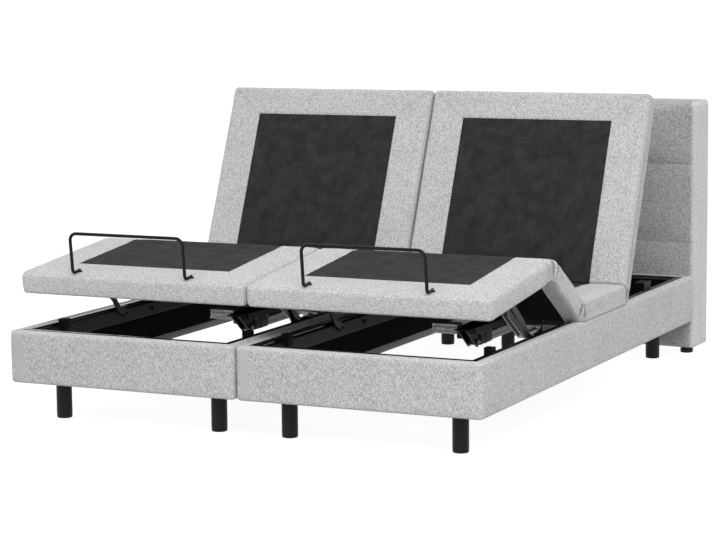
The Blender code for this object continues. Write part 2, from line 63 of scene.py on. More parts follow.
RAIL_BOTTOM = 0.125
RAIL_TOP = 0.290
DECK_HALF = 0.3955
HINGE_Z = 0.3024
UNDER = -0.012
OVER = 0.060
CALF_FOOT_Y = 0.030
KNEE_Y = 0.533
THIGH_HINGE_Y = 0.832
BACK_HINGE_Y = 1.277
BACK_HEAD_Y = 1.984
BACK_RAISE = math.radians(67.2)
THIGH_RAISE = math.radians(-32.0)
CALF_TILT = math.radians(6.15)
HEAD_DRIVE = (0.104, 0.636, 0.240)
HEAD_DRIVE_TILT = math.radians(0.44)
LEG_DRIVE = (0.200, 1.395, 0.2395)
LEG_DRIVE_TILT = math.radians(0.04)
PANEL_HALF = 0.273
PANEL_FOOT_Y = 0.170
PANEL_HEAD_Y = 1.883
STRIP = 0.054
SKY_ABOVE = 1.16
SKY_BELOW = 0.46
CAMERA_AT = (3.251, -7.018, 1.405)
CAMERA_TURNS = (25.527, 7.508, -0.526)
CAMERA_LENS = 114.69
FLOOR_REACH = 90.0


def clamp(value, low=0.0, high=1.0):
    return min(max(value, low), high)


def smooth(value):
    value = clamp(value)
    return value * value * (3.0 - 2.0 * value)


def bump_at(value, centre, width):
    return math.exp(-(((value - centre) / width) ** 2))


def spread(start, end, step):
    count = max(1, round(abs(end - start) / step))
    return [start + (end - start) * i / count for i in range(count + 1)]


# ---------------------------------------------------------------- camera, floor and light
def add_camera():
    yaw, pitch, roll = (math.radians(a) for a in CAMERA_TURNS)
    right = Vector((math.cos(yaw), math.sin(yaw), 0.0))
    ahead = Vector((-math.sin(yaw) * math.cos(pitch), math.cos(yaw) * math.cos(pitch), -math.sin(pitch)))
    up = right.cross(ahead)
    turned = right * math.cos(roll) + up * math.sin(roll)
    upper = up * math.cos(roll) - right * math.sin(roll)
    data = bpy.data.cameras.new("camera")
    data.sensor_width = 36.0
    data.lens = CAMERA_LENS
    data.clip_end = 200.0
    made = bpy.data.objects.new("camera", data)
    rows = Matrix((turned, upper, -ahead)).transposed().to_4x4()
    made.matrix_world = Matrix.Translation(CAMERA_AT) @ rows
    bpy.context.collection.objects.link(made)
    bpy.context.scene.camera = made


def add_key_light(size, power, place, target, tint):
    data = bpy.data.lights.new("key", "AREA")
    data.shape = "RECTANGLE"
    data.size, data.size_y = size
    data.energy = power
    data.color = tint
    made = bpy.data.objects.new("key", data)
    made.location = place
    made.rotation_euler = (Vector(target) - Vector(place)).to_track_quat("-Z", "Y").to_euler()
    bpy.context.collection.objects.link(made)


def add_stage():
    mesh = bpy.data.meshes.new("floor")
    corners = ((-1, -1), (1, -1), (1, 1), (-1, 1))
    mesh.from_pydata([(FLOOR_REACH * x, FLOOR_REACH * y, 0) for x, y in corners], [], [(0, 1, 2, 3)])
    floor = bpy.data.objects.new("floor", mesh)
    bpy.context.collection.objects.link(floor)
    white = Graph("floor_white", 0.9, Base_Color=(0.20, 0.20, 0.20, 1.0), Specular_IOR_Level=0.1,
                  Emission_Color=(1.0, 1.0, 1.0, 1.0), Emission_Strength=0.92)
    mesh.materials.append(white.made)
    floor.visible_diffuse = False
    floor.visible_shadow = False

    sky = bpy.data.worlds.new("studio")
    bpy.context.scene.world = sky
    sky.use_nodes = True
    nodes = sky.node_tree.nodes
    links = sky.node_tree.links
    spot = nodes.new("ShaderNodeTexCoord")
    split = nodes.new("ShaderNodeSeparateXYZ")
    links.new(spot.outputs["Generated"], split.inputs[0])
    level = nodes.new("ShaderNodeMapRange")
    links.new(split.outputs["Z"], level.inputs["Value"])
    for key, value in (("From Min", -0.25), ("From Max", 0.0), ("To Min", SKY_BELOW), ("To Max", SKY_ABOVE)):
        level.inputs[key].default_value = value
    links.new(level.outputs["Result"], nodes["Background"].inputs["Strength"])
    nodes["Background"].inputs["Color"].default_value = (1.0, 1.0, 1.0, 1.0)
    add_key_light(size=(2.2, 2.2), power=125.0, place=(2.6, -4.4, 3.4), target=(0.2, -0.2, 0.35),
                  tint=(1.0, 0.99, 0.98))
    bpy.context.scene.view_settings.view_transform = "Standard"
    bpy.context.scene.view_settings.look = "None"


# ---------------------------------------------------------------- materials
class Graph:
    """Shorthand for building a node material."""

    def __init__(self, name, roughness=0.6, metallic=0.0, **sockets):
        self.made = bpy.data.materials.new(name)
        self.made.use_nodes = True
        self.tree = self.made.node_tree
        self.shader = self.tree.nodes["Principled BSDF"]
        self.shader.inputs["Roughness"].default_value = roughness
        self.shader.inputs["Metallic"].default_value = metallic
        for key, value in sockets.items():
            self.shader.inputs[key.replace("_", " ")].default_value = value

    def node(self, kind, settings=(), **inputs):
        made = self.tree.nodes.new(kind)
        for key, value in dict(settings).items():
            setattr(made, key, value)
        for key, value in inputs.items():
            self.feed(made.inputs[key], value)
        return made

    def feed(self, socket, value):
        """Link a socket to another node's output, or set its value."""
        if isinstance(value, bpy.types.NodeSocket):
            self.tree.links.new(value, socket)
        else:
            socket.default_value = value

    def math(self, operation, *values, clamped=False):
        made = self.node("ShaderNodeMath", {"operation": operation, "use_clamp": clamped})
        for socket, value in zip(made.inputs, values):
            self.feed(socket, value)
        return made.outputs[0]

    def weighted(self, *pairs):
        """Sum of each value times its weight."""
        total = None
        for value, weight in pairs:
            share = self.math("MULTIPLY", value, weight)
            total = share if total is None else self.math("ADD", total, share)
        return total

    def where(self):
        return self.node("ShaderNodeAttribute", {"attribute_name": "cloth_at"}).outputs["Vector"]

    def object_at(self):
        return self.node("ShaderNodeTexCoord").outputs["Object"]

    def scaled(self, vector, scale):
        return self.node("ShaderNodeMapping", {}, Vector=vector, Scale=scale).outputs["Vector"]

    def noise(self, vector, scale, detail=2.0, rough=0.5, distortion=0.0):
        made = self.node("ShaderNodeTexNoise", {}, Vector=vector, Scale=scale, Detail=detail,
                         Roughness=rough, Distortion=distortion)
        return made.outputs["Fac"]

    def ramp(self, factor, stops):
        made = self.node("ShaderNodeValToRGB", {}, Fac=factor)
        elements = made.color_ramp.elements
        while len(elements) < len(stops):
            elements.new(0.5)
        for element, (place, colour) in zip(elements, stops):
            element.position = place
            element.color = (*colour, 1.0) if len(colour) == 3 else colour
        return made.outputs["Color"]

    def mix(self, factor, one, two):
        made = self.node("ShaderNodeMix", {"data_type": "RGBA"})
        for index, value in ((0, factor), (6, one), (7, two)):
            self.feed(made.inputs[index], value)
        return made.outputs[2]

    def bands(self, vector, direction, scale, distortion):
        made = self.node("ShaderNodeTexWave", {"wave_type": "BANDS", "bands_direction": direction},
                         Vector=vector, Scale=scale, Distortion=distortion)
        return made.outputs["Fac"]

    def finish(self, colour, height=None, strength=0.3, distance=0.001, rough=None):
        self.tree.links.new(colour, self.shader.inputs["Base Color"])
        if rough is not None:
            self.tree.links.new(rough, self.shader.inputs["Roughness"])
        if height is not None:
            bump = self.node("ShaderNodeBump", {}, Height=height, Strength=strength, Distance=distance)
            self.tree.links.new(bump.outputs["Normal"], self.shader.inputs["Normal"])
        return self.made


FLECK = (0.19, 0.175, 0.19, 1.0)
# Painted shade colour: the deck cloth is darkened towards it in its gathers.
FOLD_SHADE_COLOUR = (0.11, 0.106, 0.11, 1.0)
STITCH = (0.14, 0.137, 0.14, 1.0)


def melange(name, dark, light, mitres_and_fold_shade=False):
    """Heathered light grey upholstery: pale yarns with darker and lilac flecks in a plain weave. When asked,
    also the sewn mitre lines and painted shade along the cloth's gathers.
    """
    g = Graph(name, 0.92, Sheen_Weight=0.12, Sheen_Roughness=0.5, Specular_IOR_Level=0.12)
    at = g.where()
    cloud = g.noise(at, 7.0, 2.0)
    warp = g.noise(g.scaled(at, (1.0, 1.0, 0.40)), 400.0, 1.0, 0.5)
    weft = g.noise(g.scaled(at, (0.40, 1.0, 1.0)), 400.0, 1.0, 0.5)
    mottle = g.noise(at, 360.0, 2.0, 0.60)
    tuft = g.noise(g.scaled(at, (1.0, 1.0, 0.60)), 190.0, 1.0, 0.5)
    base = g.weighted((warp, 0.24), (weft, 0.16), (mottle, 0.42), (tuft, 0.18), (cloud, 0.04))
    middle = tuple(0.5 * (a + b) for a, b in zip(dark, light))
    colour = g.ramp(base, [(0.425, dark), (0.505, middle), (0.585, light)])
    fleck = g.noise(g.scaled(at, (1.0, 1.0, 0.7)), 300.0, 1.0)
    fleck = g.math("GREATER_THAN", fleck, 0.63)
    colour = g.mix(g.math("MULTIPLY", fleck, 0.42), colour, FLECK)
    thread = g.bands(at, "X", 260.0, 1.5)
    across = g.bands(at, "Z", 260.0, 1.5)
    height = g.math("ADD", g.math("MULTIPLY", thread, across), g.math("MULTIPLY", base, 3.0))
    if mitres_and_fold_shade:
        # Painted shade: the cloth is darkened along its gathers by the fold shade value that each point
        # carries.
        fold_shade = g.node("ShaderNodeAttribute", {"attribute_name": "painted_fold_shade"}).outputs["Fac"]
        colour = g.mix(g.math("MULTIPLY", fold_shade, 0.72), colour, FOLD_SHADE_COLOUR)
        line = mitre_line(g, at)
        colour = g.mix(g.math("MULTIPLY", line, 0.55), colour, STITCH)
        height = g.math("SUBTRACT", height, g.math("MULTIPLY", line, 1.6))
    return g.finish(colour, height, 0.6, 0.0009)


def mitre_line(g, at):
    """1 on the sewn diagonals from the panel's corners to the section's corners, else 0."""
    parts = g.node("ShaderNodeSeparateXYZ", {}, Vector=at)
    along = g.math("SUBTRACT", g.math("ABSOLUTE", parts.outputs["X"]), PANEL_HALF)
    run = DECK_HALF - PANEL_HALF
    lines = []
    for edge, end, depth in ((PANEL_FOOT_Y, CALF_FOOT_Y, 0.35), (PANEL_HEAD_Y, BACK_HEAD_Y, 1.0)):
        share = g.math("DIVIDE", g.math("SUBTRACT", parts.outputs["Z"], edge), end - edge)
        off = g.math("ABSOLUTE", g.math("SUBTRACT", share, g.math("DIVIDE", along, run)))
        inside = g.math("GREATER_THAN", share, 0.02)
        near = g.math("SUBTRACT", 1.0, g.math("DIVIDE", off, 0.017), clamped=True)
        lines.append(g.math("MULTIPLY", g.math("MULTIPLY", near, inside), depth))
    both = g.math("MAXIMUM", *lines)
    return g.math("MULTIPLY", both, g.math("GREATER_THAN", parts.outputs["Y"], 0.050))


def tone(value):
    """A colour as it stands, or a neutral grey from one number."""
    return value if isinstance(value, tuple) else (value, value, value)


def panel_cloth(name, dark, light, sheen=0.02, gloss=0.06):
    """Black woven anti-slip cloth with a faint felt-like mottle."""
    g = Graph(name, 0.88, Sheen_Weight=sheen, Sheen_Roughness=0.5, Specular_IOR_Level=gloss)
    at = g.where()
    cloud = g.noise(at, 26.0, 4.0, 0.62, 0.4)
    grain = g.noise(at, 380.0, 2.0, 0.6)
    value = g.weighted((cloud, 0.62), (grain, 0.38))
    colour = g.ramp(value, [(0.36, tone(dark)), (0.66, tone(light))])
    ribs = g.bands(at, "Z", 330.0, 1.0)
    height = g.weighted((ribs, 0.5), (grain, 1.2))
    return g.finish(colour, height, 0.35, 0.0006)


def paint(name, colour, worn, roughness, metallic=0.0, grain=220.0, strength=0.12, gloss=0.25):
    """Painted or moulded surface with a fine orange-peel grain and lighter worn patches."""
    g = Graph(name, roughness, metallic, Specular_IOR_Level=gloss)
    at = g.object_at()
    fine = g.noise(at, grain, 3.0, 0.6)
    broad = g.noise(at, 7.0, 4.0, 0.6, 0.5)
    patches = g.ramp(broad, [(0.42, tone(0.0)), (0.72, tone(1.0))])
    colour = g.mix(patches, (*tone(colour), 1.0), (*tone(worn), 1.0))
    rough = g.math("ADD", g.math("MULTIPLY", broad, 0.18), roughness - 0.09)
    return g.finish(colour, fine, strength, 0.0006, rough)


def metal(name, dark, light, roughness, brushed=False, spangle=False, shine=0.6):
    """Bare or galvanised metal: zinc spangle or a brushed grain, with duller patches."""
    g = Graph(name, roughness, shine, Specular_IOR_Level=0.5)
    at = g.object_at()
    broad = g.noise(at, 14.0, 4.0, 0.6, 0.3)
    if spangle:
        cells = g.node("ShaderNodeTexVoronoi", {}, Vector=at, Scale=150.0).outputs["Color"]
        fine = g.node("ShaderNodeSeparateColor", {}, Color=cells).outputs["Red"]
    else:
        fine = g.noise(g.scaled(at, (1.0, 0.04, 1.0) if brushed else (1.0, 1.0, 1.0)), 900.0, 2.0)
    value = g.weighted((broad, 0.55), (fine, 0.45))
    colour = g.ramp(value, [(0.25, dark), (0.75, light)])
    rough = g.math("ADD", g.math("MULTIPLY", value, 0.22), roughness - 0.11)
    return g.finish(colour, fine, 0.08, 0.0004, rough)


def make_materials():
    return {
        "rail": melange("rail_melange", (0.300, 0.290, 0.302), (0.640, 0.630, 0.640)),
        "deck": melange("deck_melange", (0.296, 0.288, 0.297), (0.632, 0.623, 0.632), mitres_and_fold_shade=True),
        # Painted shade: a darker copy of the headboard fabric for the front pad, standing in for the shade on
        # the headboard's front.
        "headboard": melange("headboard_front_painted_shade_melange", (0.215, 0.208, 0.216), (0.480, 0.472, 0.480)),
        "headboard_back": melange("headboard_back_melange", (0.330, 0.322, 0.330), (0.690, 0.682, 0.690)),
        # Painted shade: a darker copy of the rail fabric for the hem low inside the box, where it lies in
        # shade.
        "hem": melange("hem_painted_shade_melange", (0.17, 0.16, 0.15), (0.34, 0.33, 0.31)),
        "panel": panel_cloth("panel_black", (0.0165, 0.017, 0.018), (0.036, 0.037, 0.039)),
        # Partly painted shade: a dust cover made near black, standing in for the shade of the hollow under
        # the deck; also used on the box's bottom.
        "dust_and_shade": panel_cloth("dust_cover_and_painted_shade", 0.0025, 0.006, 0.0, 0.02),
        "lining": panel_cloth("rail_lining", 0.002, 0.005, 0.0, 0.03),
        "plastic": paint("leg_plastic", (0.006, 0.006, 0.0065), (0.010, 0.010, 0.011), 0.45, 0.0, 420.0,
                         gloss=0.16),
        "housing": paint("drive_plastic", 0.006, 0.012, 0.5, 0.0, 600.0, gloss=0.2),
        "rubber": paint("rubber", 0.003, 0.007, 0.75, 0.0, 500.0, gloss=0.1),
        "black": paint("powder_black", 0.005, 0.011, 0.42, 0.1, 700.0, gloss=0.2),
        "bar": paint("bar_black", 0.0035, 0.007, 0.28, 0.0, 700.0, 0.05, 0.16),
        "lip": paint("steel_lip", 0.005, 0.010, 0.17, 0.1, 500.0, 0.03, 0.5),
        "grey": paint("powder_grey", 0.006, 0.012, 0.5, 0.1, 700.0, gloss=0.12),
        "zinc": metal("galvanised", (0.26, 0.265, 0.26), (0.52, 0.52, 0.50), 0.42, spangle=True),
        "strap": metal("zinc_strap", (0.17, 0.17, 0.165), (0.28, 0.28, 0.275), 0.5, spangle=True, shine=0.25),
        "aluminium": metal("drawn_aluminium", (0.26, 0.26, 0.255), (0.42, 0.42, 0.41), 0.42, brushed=True,
                           shine=0.4),
    }


# ---------------------------------------------------------------- mesh helpers
def mesh_piece(name, points, faces, kinds=None, mats=(), cloth_at=None, sharp=35.0):
    """Object from points and faces. kinds gives each face's material, cloth_at each point's weave place."""
    mesh = bpy.data.meshes.new(name)
    mesh.from_pydata([tuple(p) for p in points], [], faces)
    for mat in mats:
        mesh.materials.append(mat)
    if kinds:
        mesh.polygons.foreach_set("material_index", kinds)
    if cloth_at:
        made = mesh.attributes.new("cloth_at", "FLOAT_VECTOR", "POINT")
        made.data.foreach_set("vector", [c for p in cloth_at for c in p])
    work = bmesh.new()
    work.from_mesh(mesh)
    bmesh.ops.recalc_face_normals(work, faces=work.faces)
    for face in work.faces:
        face.smooth = True
    work.to_mesh(mesh)
    work.free()
    mesh.set_sharp_from_angle(angle=math.radians(sharp))
    made = bpy.data.objects.new(name, mesh)
    bpy.context.collection.objects.link(made)
    return made


def lattice(xs, ts, ss, place, kind_of):
    """Closed skin of a box of grid lines. place(i, j, k) gives the point and its weave place."""
    top = (len(xs) - 1, len(ts) - 1, len(ss) - 1)
    points = []
    weave = []
    index = {}

    def corner(i, j, k):
        key = (i, j, k)
        if key not in index:
            index[key] = len(points)
            at, cloth = place(i, j, k)
            points.append(at)
            weave.append(cloth)
        return index[key]

    faces = []
    kinds = []
    for axis in range(3):
        a, b = (n for n in range(3) if n != axis)
        for level in (0, top[axis]):
            for u in range(top[a]):
                for v in range(top[b]):
                    cell = []
                    for du, dv in ((0, 0), (1, 0), (1, 1), (0, 1)):
                        spot = [0, 0, 0]
                        spot[axis] = level
                        spot[a] = u + du
                        spot[b] = v + dv
                        cell.append(tuple(spot))
                    faces.append([corner(*c) for c in cell])
                    kinds.append(kind_of(axis, level > 0, cell))
    return points, faces, kinds, weave


def ring_faces(rows, steps):
    """Faces of a closed skin over rows of points, where each row is a ring, with a flat face at each end."""
    faces = []
    for j in range(rows - 1):
        for k in range(steps):
            m = (k + 1) % steps
            faces.append([j * steps + k, j * steps + m, (j + 1) * steps + m, (j + 1) * steps + k])
    faces.append(list(range(steps)))
    faces.append([(rows - 1) * steps + k for k in range(steps)])
    return faces


def settle(piece, body, slot, *replaced):
    """Hang a piece on its body and hide the CAD nodes that it stands for. The slot argument is not used."""
    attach(piece, body)
    if replaced:
        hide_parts(*replaced)
    return piece


def arc_steps(radius, count=4):
    return [radius * math.tan(math.radians(45.0 * i / count)) for i in range(count + 1)]


def rounded(value, low, high, radius_low, radius_high):
    """Value held off a rounded end, its overshoot as a share of the radius (-1 to 1), and that radius."""
    if radius_high and value > high - radius_high:
        return high - radius_high, (value - high + radius_high) / radius_high, radius_high
    if radius_low and value < low + radius_low:
        return low + radius_low, (value - low - radius_low) / radius_low, radius_low
    return value, 0.0, 0.0


def round_box(point, lows, highs, radii):
    """Point on a box moved onto the same box with elliptic edges. radii: (low, high) per axis."""
    parts = [rounded(p, lo, hi, r[0], r[1]) for p, lo, hi, r in zip(point, lows, highs, radii)]
    length = math.sqrt(sum(part[1] ** 2 for part in parts))
    if length < 1e-9:
        return list(point), (0.0, 0.0, 0.0)
    out = [base + over / length * radius for base, over, radius in parts]
    return out, tuple(over / length for _, over, _ in parts)


# ---------------------------------------------------------------- padded deck sections
class Fold:
    """A hinge line of the deck in the Y-Z plane, with the directions of the sections beside it."""

    def __init__(self, hinge, before, after, reach):
        self.hinge = hinge
        self.angles = (before, after)
        self.middle = 0.5 * (before + after)
        self.half = 0.5 * (after - before)
        self.reach = reach

    def edge(self, side, t):
        """Flat distance from the hinge at which the bending zone ends."""
        return side * (self.reach + t * math.sin(self.half)) / math.cos(self.half)

    def rigid(self, side, u, t):
        a = self.angles[0] if side < 0 else self.angles[1]
        y = self.hinge[0] + u * math.cos(a) - t * math.sin(a)
        z = self.hinge[1] + u * math.sin(a) + t * math.cos(a)
        return y, z

    def zone(self, p, t):
        """Rest place of a point at height t on the plane p of the bending zone, and its flat distance."""
        w = smooth((p + self.reach) / (2.0 * self.reach))
        off = self.angles[0] + w * 2.0 * self.half - self.middle
        rise = (t + p * math.sin(off)) / math.cos(off)
        y = self.hinge[0] + p * math.cos(self.middle) - rise * math.sin(self.middle)
        z = self.hinge[1] + p * math.sin(self.middle) + rise * math.cos(self.middle)
        return (y, z), p / math.cos(off) + t * math.tan(off)

    def ends(self, centre_x):
        along = Vector((0.0, math.cos(self.middle), math.sin(self.middle)))
        at = Vector((centre_x, self.hinge[0] - 0.5 * DEPTH, self.hinge[1]))
        return at - self.reach * along, at + self.reach * along


def knee_point():
    length = THIGH_HINGE_Y - KNEE_Y
    return (
        THIGH_HINGE_Y - length * math.cos(THIGH_RAISE),
        HINGE_Z - length * math.sin(THIGH_RAISE),
    )


FOLDS = {
    "knee": (Fold(knee_point(), CALF_TILT, THIGH_RAISE, 0.080), KNEE_Y),
    "seat": (Fold((THIGH_HINGE_Y, HINGE_Z), THIGH_RAISE, 0.0, 0.0046), THIGH_HINGE_Y),
    "back": (Fold((BACK_HINGE_Y, HINGE_Z), 0.0, BACK_RAISE, 0.0043), BACK_HINGE_Y),
}
FOLD_ROWS = {"knee": (0.120, 40), "seat": (0.058, 10), "back": (0.110, 10)}
ROW_STEP = 0.0115
FOLD_STEP = 0.0030
EDGE_X = 0.015
EDGE_TOP = 0.016
EDGE_UNDER = 0.009
BUMPER_POCKET = (0.3125, 0.3545, 0.195, 0.241, 0.0056)
STOP_POCKET = (0.3040, 0.3575, 1.582, 1.668, 0.0198)


def deck_lines_x():
    half = [DECK_HALF - EDGE_X + a for a in arc_steps(EDGE_X)]
    half += [0.3735, 0.3660, 0.3575, 0.3570, 0.3545, 0.3540, 0.3470, 0.3400, 0.3330, 0.3260]
    half += [0.3190, 0.3130, 0.3125, 0.3085, 0.3045, 0.3040, 0.2960, 0.2890, 0.2820, 0.2748, 0.2728]
    half += [0.2550, 0.2300, 0.2000, 0.1700, 0.1400, 0.1100, 0.0800, 0.0500, 0.0250]
    half = sorted(set(round(v, 6) for v in half))
    return [-v for v in half[::-1]] + [0.0] + half


def deck_lines_t():
    low = [UNDER + EDGE_UNDER - a for a in arc_steps(EDGE_UNDER)]
    high = [OVER - EDGE_TOP + a for a in arc_steps(EDGE_TOP)]
    middle = [0.0055, 0.0140, 0.0225, 0.0310, 0.0385]
    return sorted(set(round(v, 6) for v in low + middle + high))


PANEL_SINK = 0.0019
BORDER_CROWN = 0.0014
MITRE_SINK = 0.0013
THIGH_CROWN = 0.0050
KNEE_DIP = 0.0035
BACK_HINGE_DIP = 0.0090
THIGH_HINGE_DIP = 0.0050
SEAT_DIP = 0.0045
INNER_SWELL = 0.0040
OUTER_SWELL = 0.0026
END_SWELL = 0.0020
HANG_OUT = 0.0045
HANG_DOWN = 0.0075
KNEE_GATHERS = (0.0032, 0.0008)
HINGE_GATHERS = (0.0029, 0.0016)
INNER_GATHERS = 0.4
# Gather depth at which the painted fold shade on the deck cloth is full.
FULL_FOLD_SHADE_DEPTH = 0.0027


def deck_shape(x, t, y_flat, outward, inner):
    """Soft deviations from the flat board: crowned border, sunk panel, sewn valleys, puckers."""
    nx, nt, ny = outward
    across = abs(x)
    wave = noise.noise(Vector((x * 7.0 + 3.1, y_flat * 7.0, t * 9.0)))
    ripple = noise.noise(Vector((x * 21.0, y_flat * 21.0 + 9.7, t * 30.0)))
    up = 0.0
    seat = smooth((y_flat - THIGH_HINGE_Y) / 0.030) * smooth((BACK_HINGE_Y - y_flat) / 0.030)
    if nt > 0.3:
        border = clamp((across - PANEL_HALF) / (DECK_HALF - PANEL_HALF))
        foot = clamp((PANEL_FOOT_Y - y_flat) / (PANEL_FOOT_Y - CALF_FOOT_Y))
        head = clamp((y_flat - PANEL_HEAD_Y) / (BACK_HEAD_Y - PANEL_HEAD_Y))
        edge = max(border, foot, head)
        if edge <= 0.0:
            up -= PANEL_SINK - 0.0007 * wave - 0.00035 * ripple
        else:
            up += BORDER_CROWN * math.sin(math.pi * edge) ** 0.7 + 0.0004 * wave + 0.0002 * ripple
            for share in (foot, head):
                if share > 0.0 and border > 0.0:
                    up -= MITRE_SINK * bump_at(share - border, 0.0, 0.045) * smooth(share * 6.0)
        thigh = clamp((y_flat - KNEE_Y) / (THIGH_HINGE_Y - KNEE_Y))
        lift = THIGH_CROWN * math.sin(math.pi * thigh) ** 0.8 - KNEE_DIP * bump_at(y_flat, KNEE_Y, 0.045)
        up += lift * smooth((across - PANEL_HALF + 0.045) / 0.075)
        up -= (BACK_HINGE_DIP * bump_at(y_flat, BACK_HINGE_Y, 0.070)
               + THIGH_HINGE_DIP * bump_at(y_flat, THIGH_HINGE_Y, 0.045))
        up -= SEAT_DIP * seat * smooth((BACK_HINGE_Y - y_flat) / 0.08)
        up *= nt
    if nt < -0.5:
        up += 0.0002 + 0.0002 * wave - 0.0030 * bump_at(y_flat, THIGH_HINGE_Y, 0.055)
    level = clamp((t - UNDER) / (OVER - UNDER))
    belly = 1.0 - abs(2.0 * level - 1.0) ** 2.4
    proud = INNER_SWELL if nx * inner > 0.0 else OUTER_SWELL
    out = (proud * belly + 0.0005 * wave) * (1.0 if abs(nx) > 0.5 else 0.0)
    end = (END_SWELL * belly + 0.0005 * wave) * (1.0 if abs(ny) > 0.5 else 0.0)
    if nx * inner < -0.3:
        hang = seat * abs(nx) * smooth(1.0 - 3.0 * level)
        out += HANG_OUT * hang + 0.0015 * seat * belly
        up -= HANG_DOWN * hang
    return out * (1.0 if nx > 0 else -1.0), up, end * (1.0 if ny > 0 else -1.0)


def puckers(fold_name, side_sign, t, u, p):
    """Small gathers of the cloth on a section's side, fanning out from the fold's tight end."""
    level = clamp((t - UNDER) / (OVER - UNDER))
    phase = 0.7 if side_sign > 0 else 2.1
    if fold_name == "knee":
        turn = (p - 0.004) / (t - UNDER + 0.026)
        fan = math.exp(-((turn / 0.74) ** 2))
        gather = math.sin(turn * 11.4 + phase) + 0.55 * math.sin(turn * 23.7 - 1.4 * phase + 2.0 * level)
        height, pull = KNEE_GATHERS
        return fan * (height * gather - pull) * smooth(level * 3.2) * smooth((1.05 - level) * 12.0)
    scale = 0.030 if fold_name == "seat" else 0.022
    turn = u / (OVER - t + scale)
    fan = math.exp(-((turn / 0.55) ** 2))
    gather = math.cos(turn * 11.0 + 0.4 * phase) + 0.4 * math.cos(turn * 23.0 + 1.1 * phase)
    height, pull = HINGE_GATHERS
    return fan * (height * gather - pull) * smooth(level * 3.0)


def side_creases(x, t, y_flat):
    """Long soft creases where the cloth is pulled round the back section's side."""
    run = smooth((y_flat - BACK_HINGE_Y - 0.02) / 0.05) * smooth((BACK_HEAD_Y - 0.03 - y_flat) / 0.20)
    drift = 0.0030 * noise.noise(Vector((x, y_flat * 3.1, 0.5)))
    depth = bump_at(t, 0.0330 + drift, 0.0042) + 0.6 * bump_at(t, 0.0120 - drift, 0.0040)
    return -0.0016 * run * depth


def rigid_marks(start_u, end_u, far, flat_y, free_foot, free_head):
    """Flat distances from the hinge of the point rows on the stretches that don't bend."""
    marks = {round(v, 6) for v in spread(start_u, -far, ROW_STEP) + spread(far, end_u, ROW_STEP)}
    for free, edge, inward, panel_y, pocket in (
            (free_foot, start_u, 1.0, PANEL_FOOT_Y, BUMPER_POCKET),
            (free_head, end_u, -1.0, PANEL_HEAD_Y, STOP_POCKET)):
        if not free:
            continue
        arc = {round(edge + inward * (EDGE_X - a), 6) for a in arc_steps(EDGE_X)}
        marks = {m for m in marks if not 0.0 < inward * (m - edge) < EDGE_X} | arc
        marks |= {round(panel_y - flat_y + d, 6) for d in (-0.0010, 0.0010)}
        marks |= {round(v - flat_y + d, 6) for v in pocket[2:4] for d in (-0.0003, 0.0003)}
    return marks


def deck_stations(fold, marks, far, planes):
    """Rows of points along a deck piece: rigid, easing into the fold, across it and out again."""
    steps = max(6, round((far - 0.02 - fold.reach * 0.5) / FOLD_STEP))
    stations = [("rigid", -1, u) for u in sorted(m for m in marks if m <= -far)]
    stations += [("morph", -1, i / steps) for i in range(1, steps + 1)]
    stations += [("zone", 0, fold.reach * (2.0 * i / planes - 1.0)) for i in range(1, planes)]
    stations += [("morph", 1, 1.0 - i / steps) for i in range(steps)]
    stations += [("rigid", 1, u) for u in sorted(m for m in marks if m >= far)]
    return stations


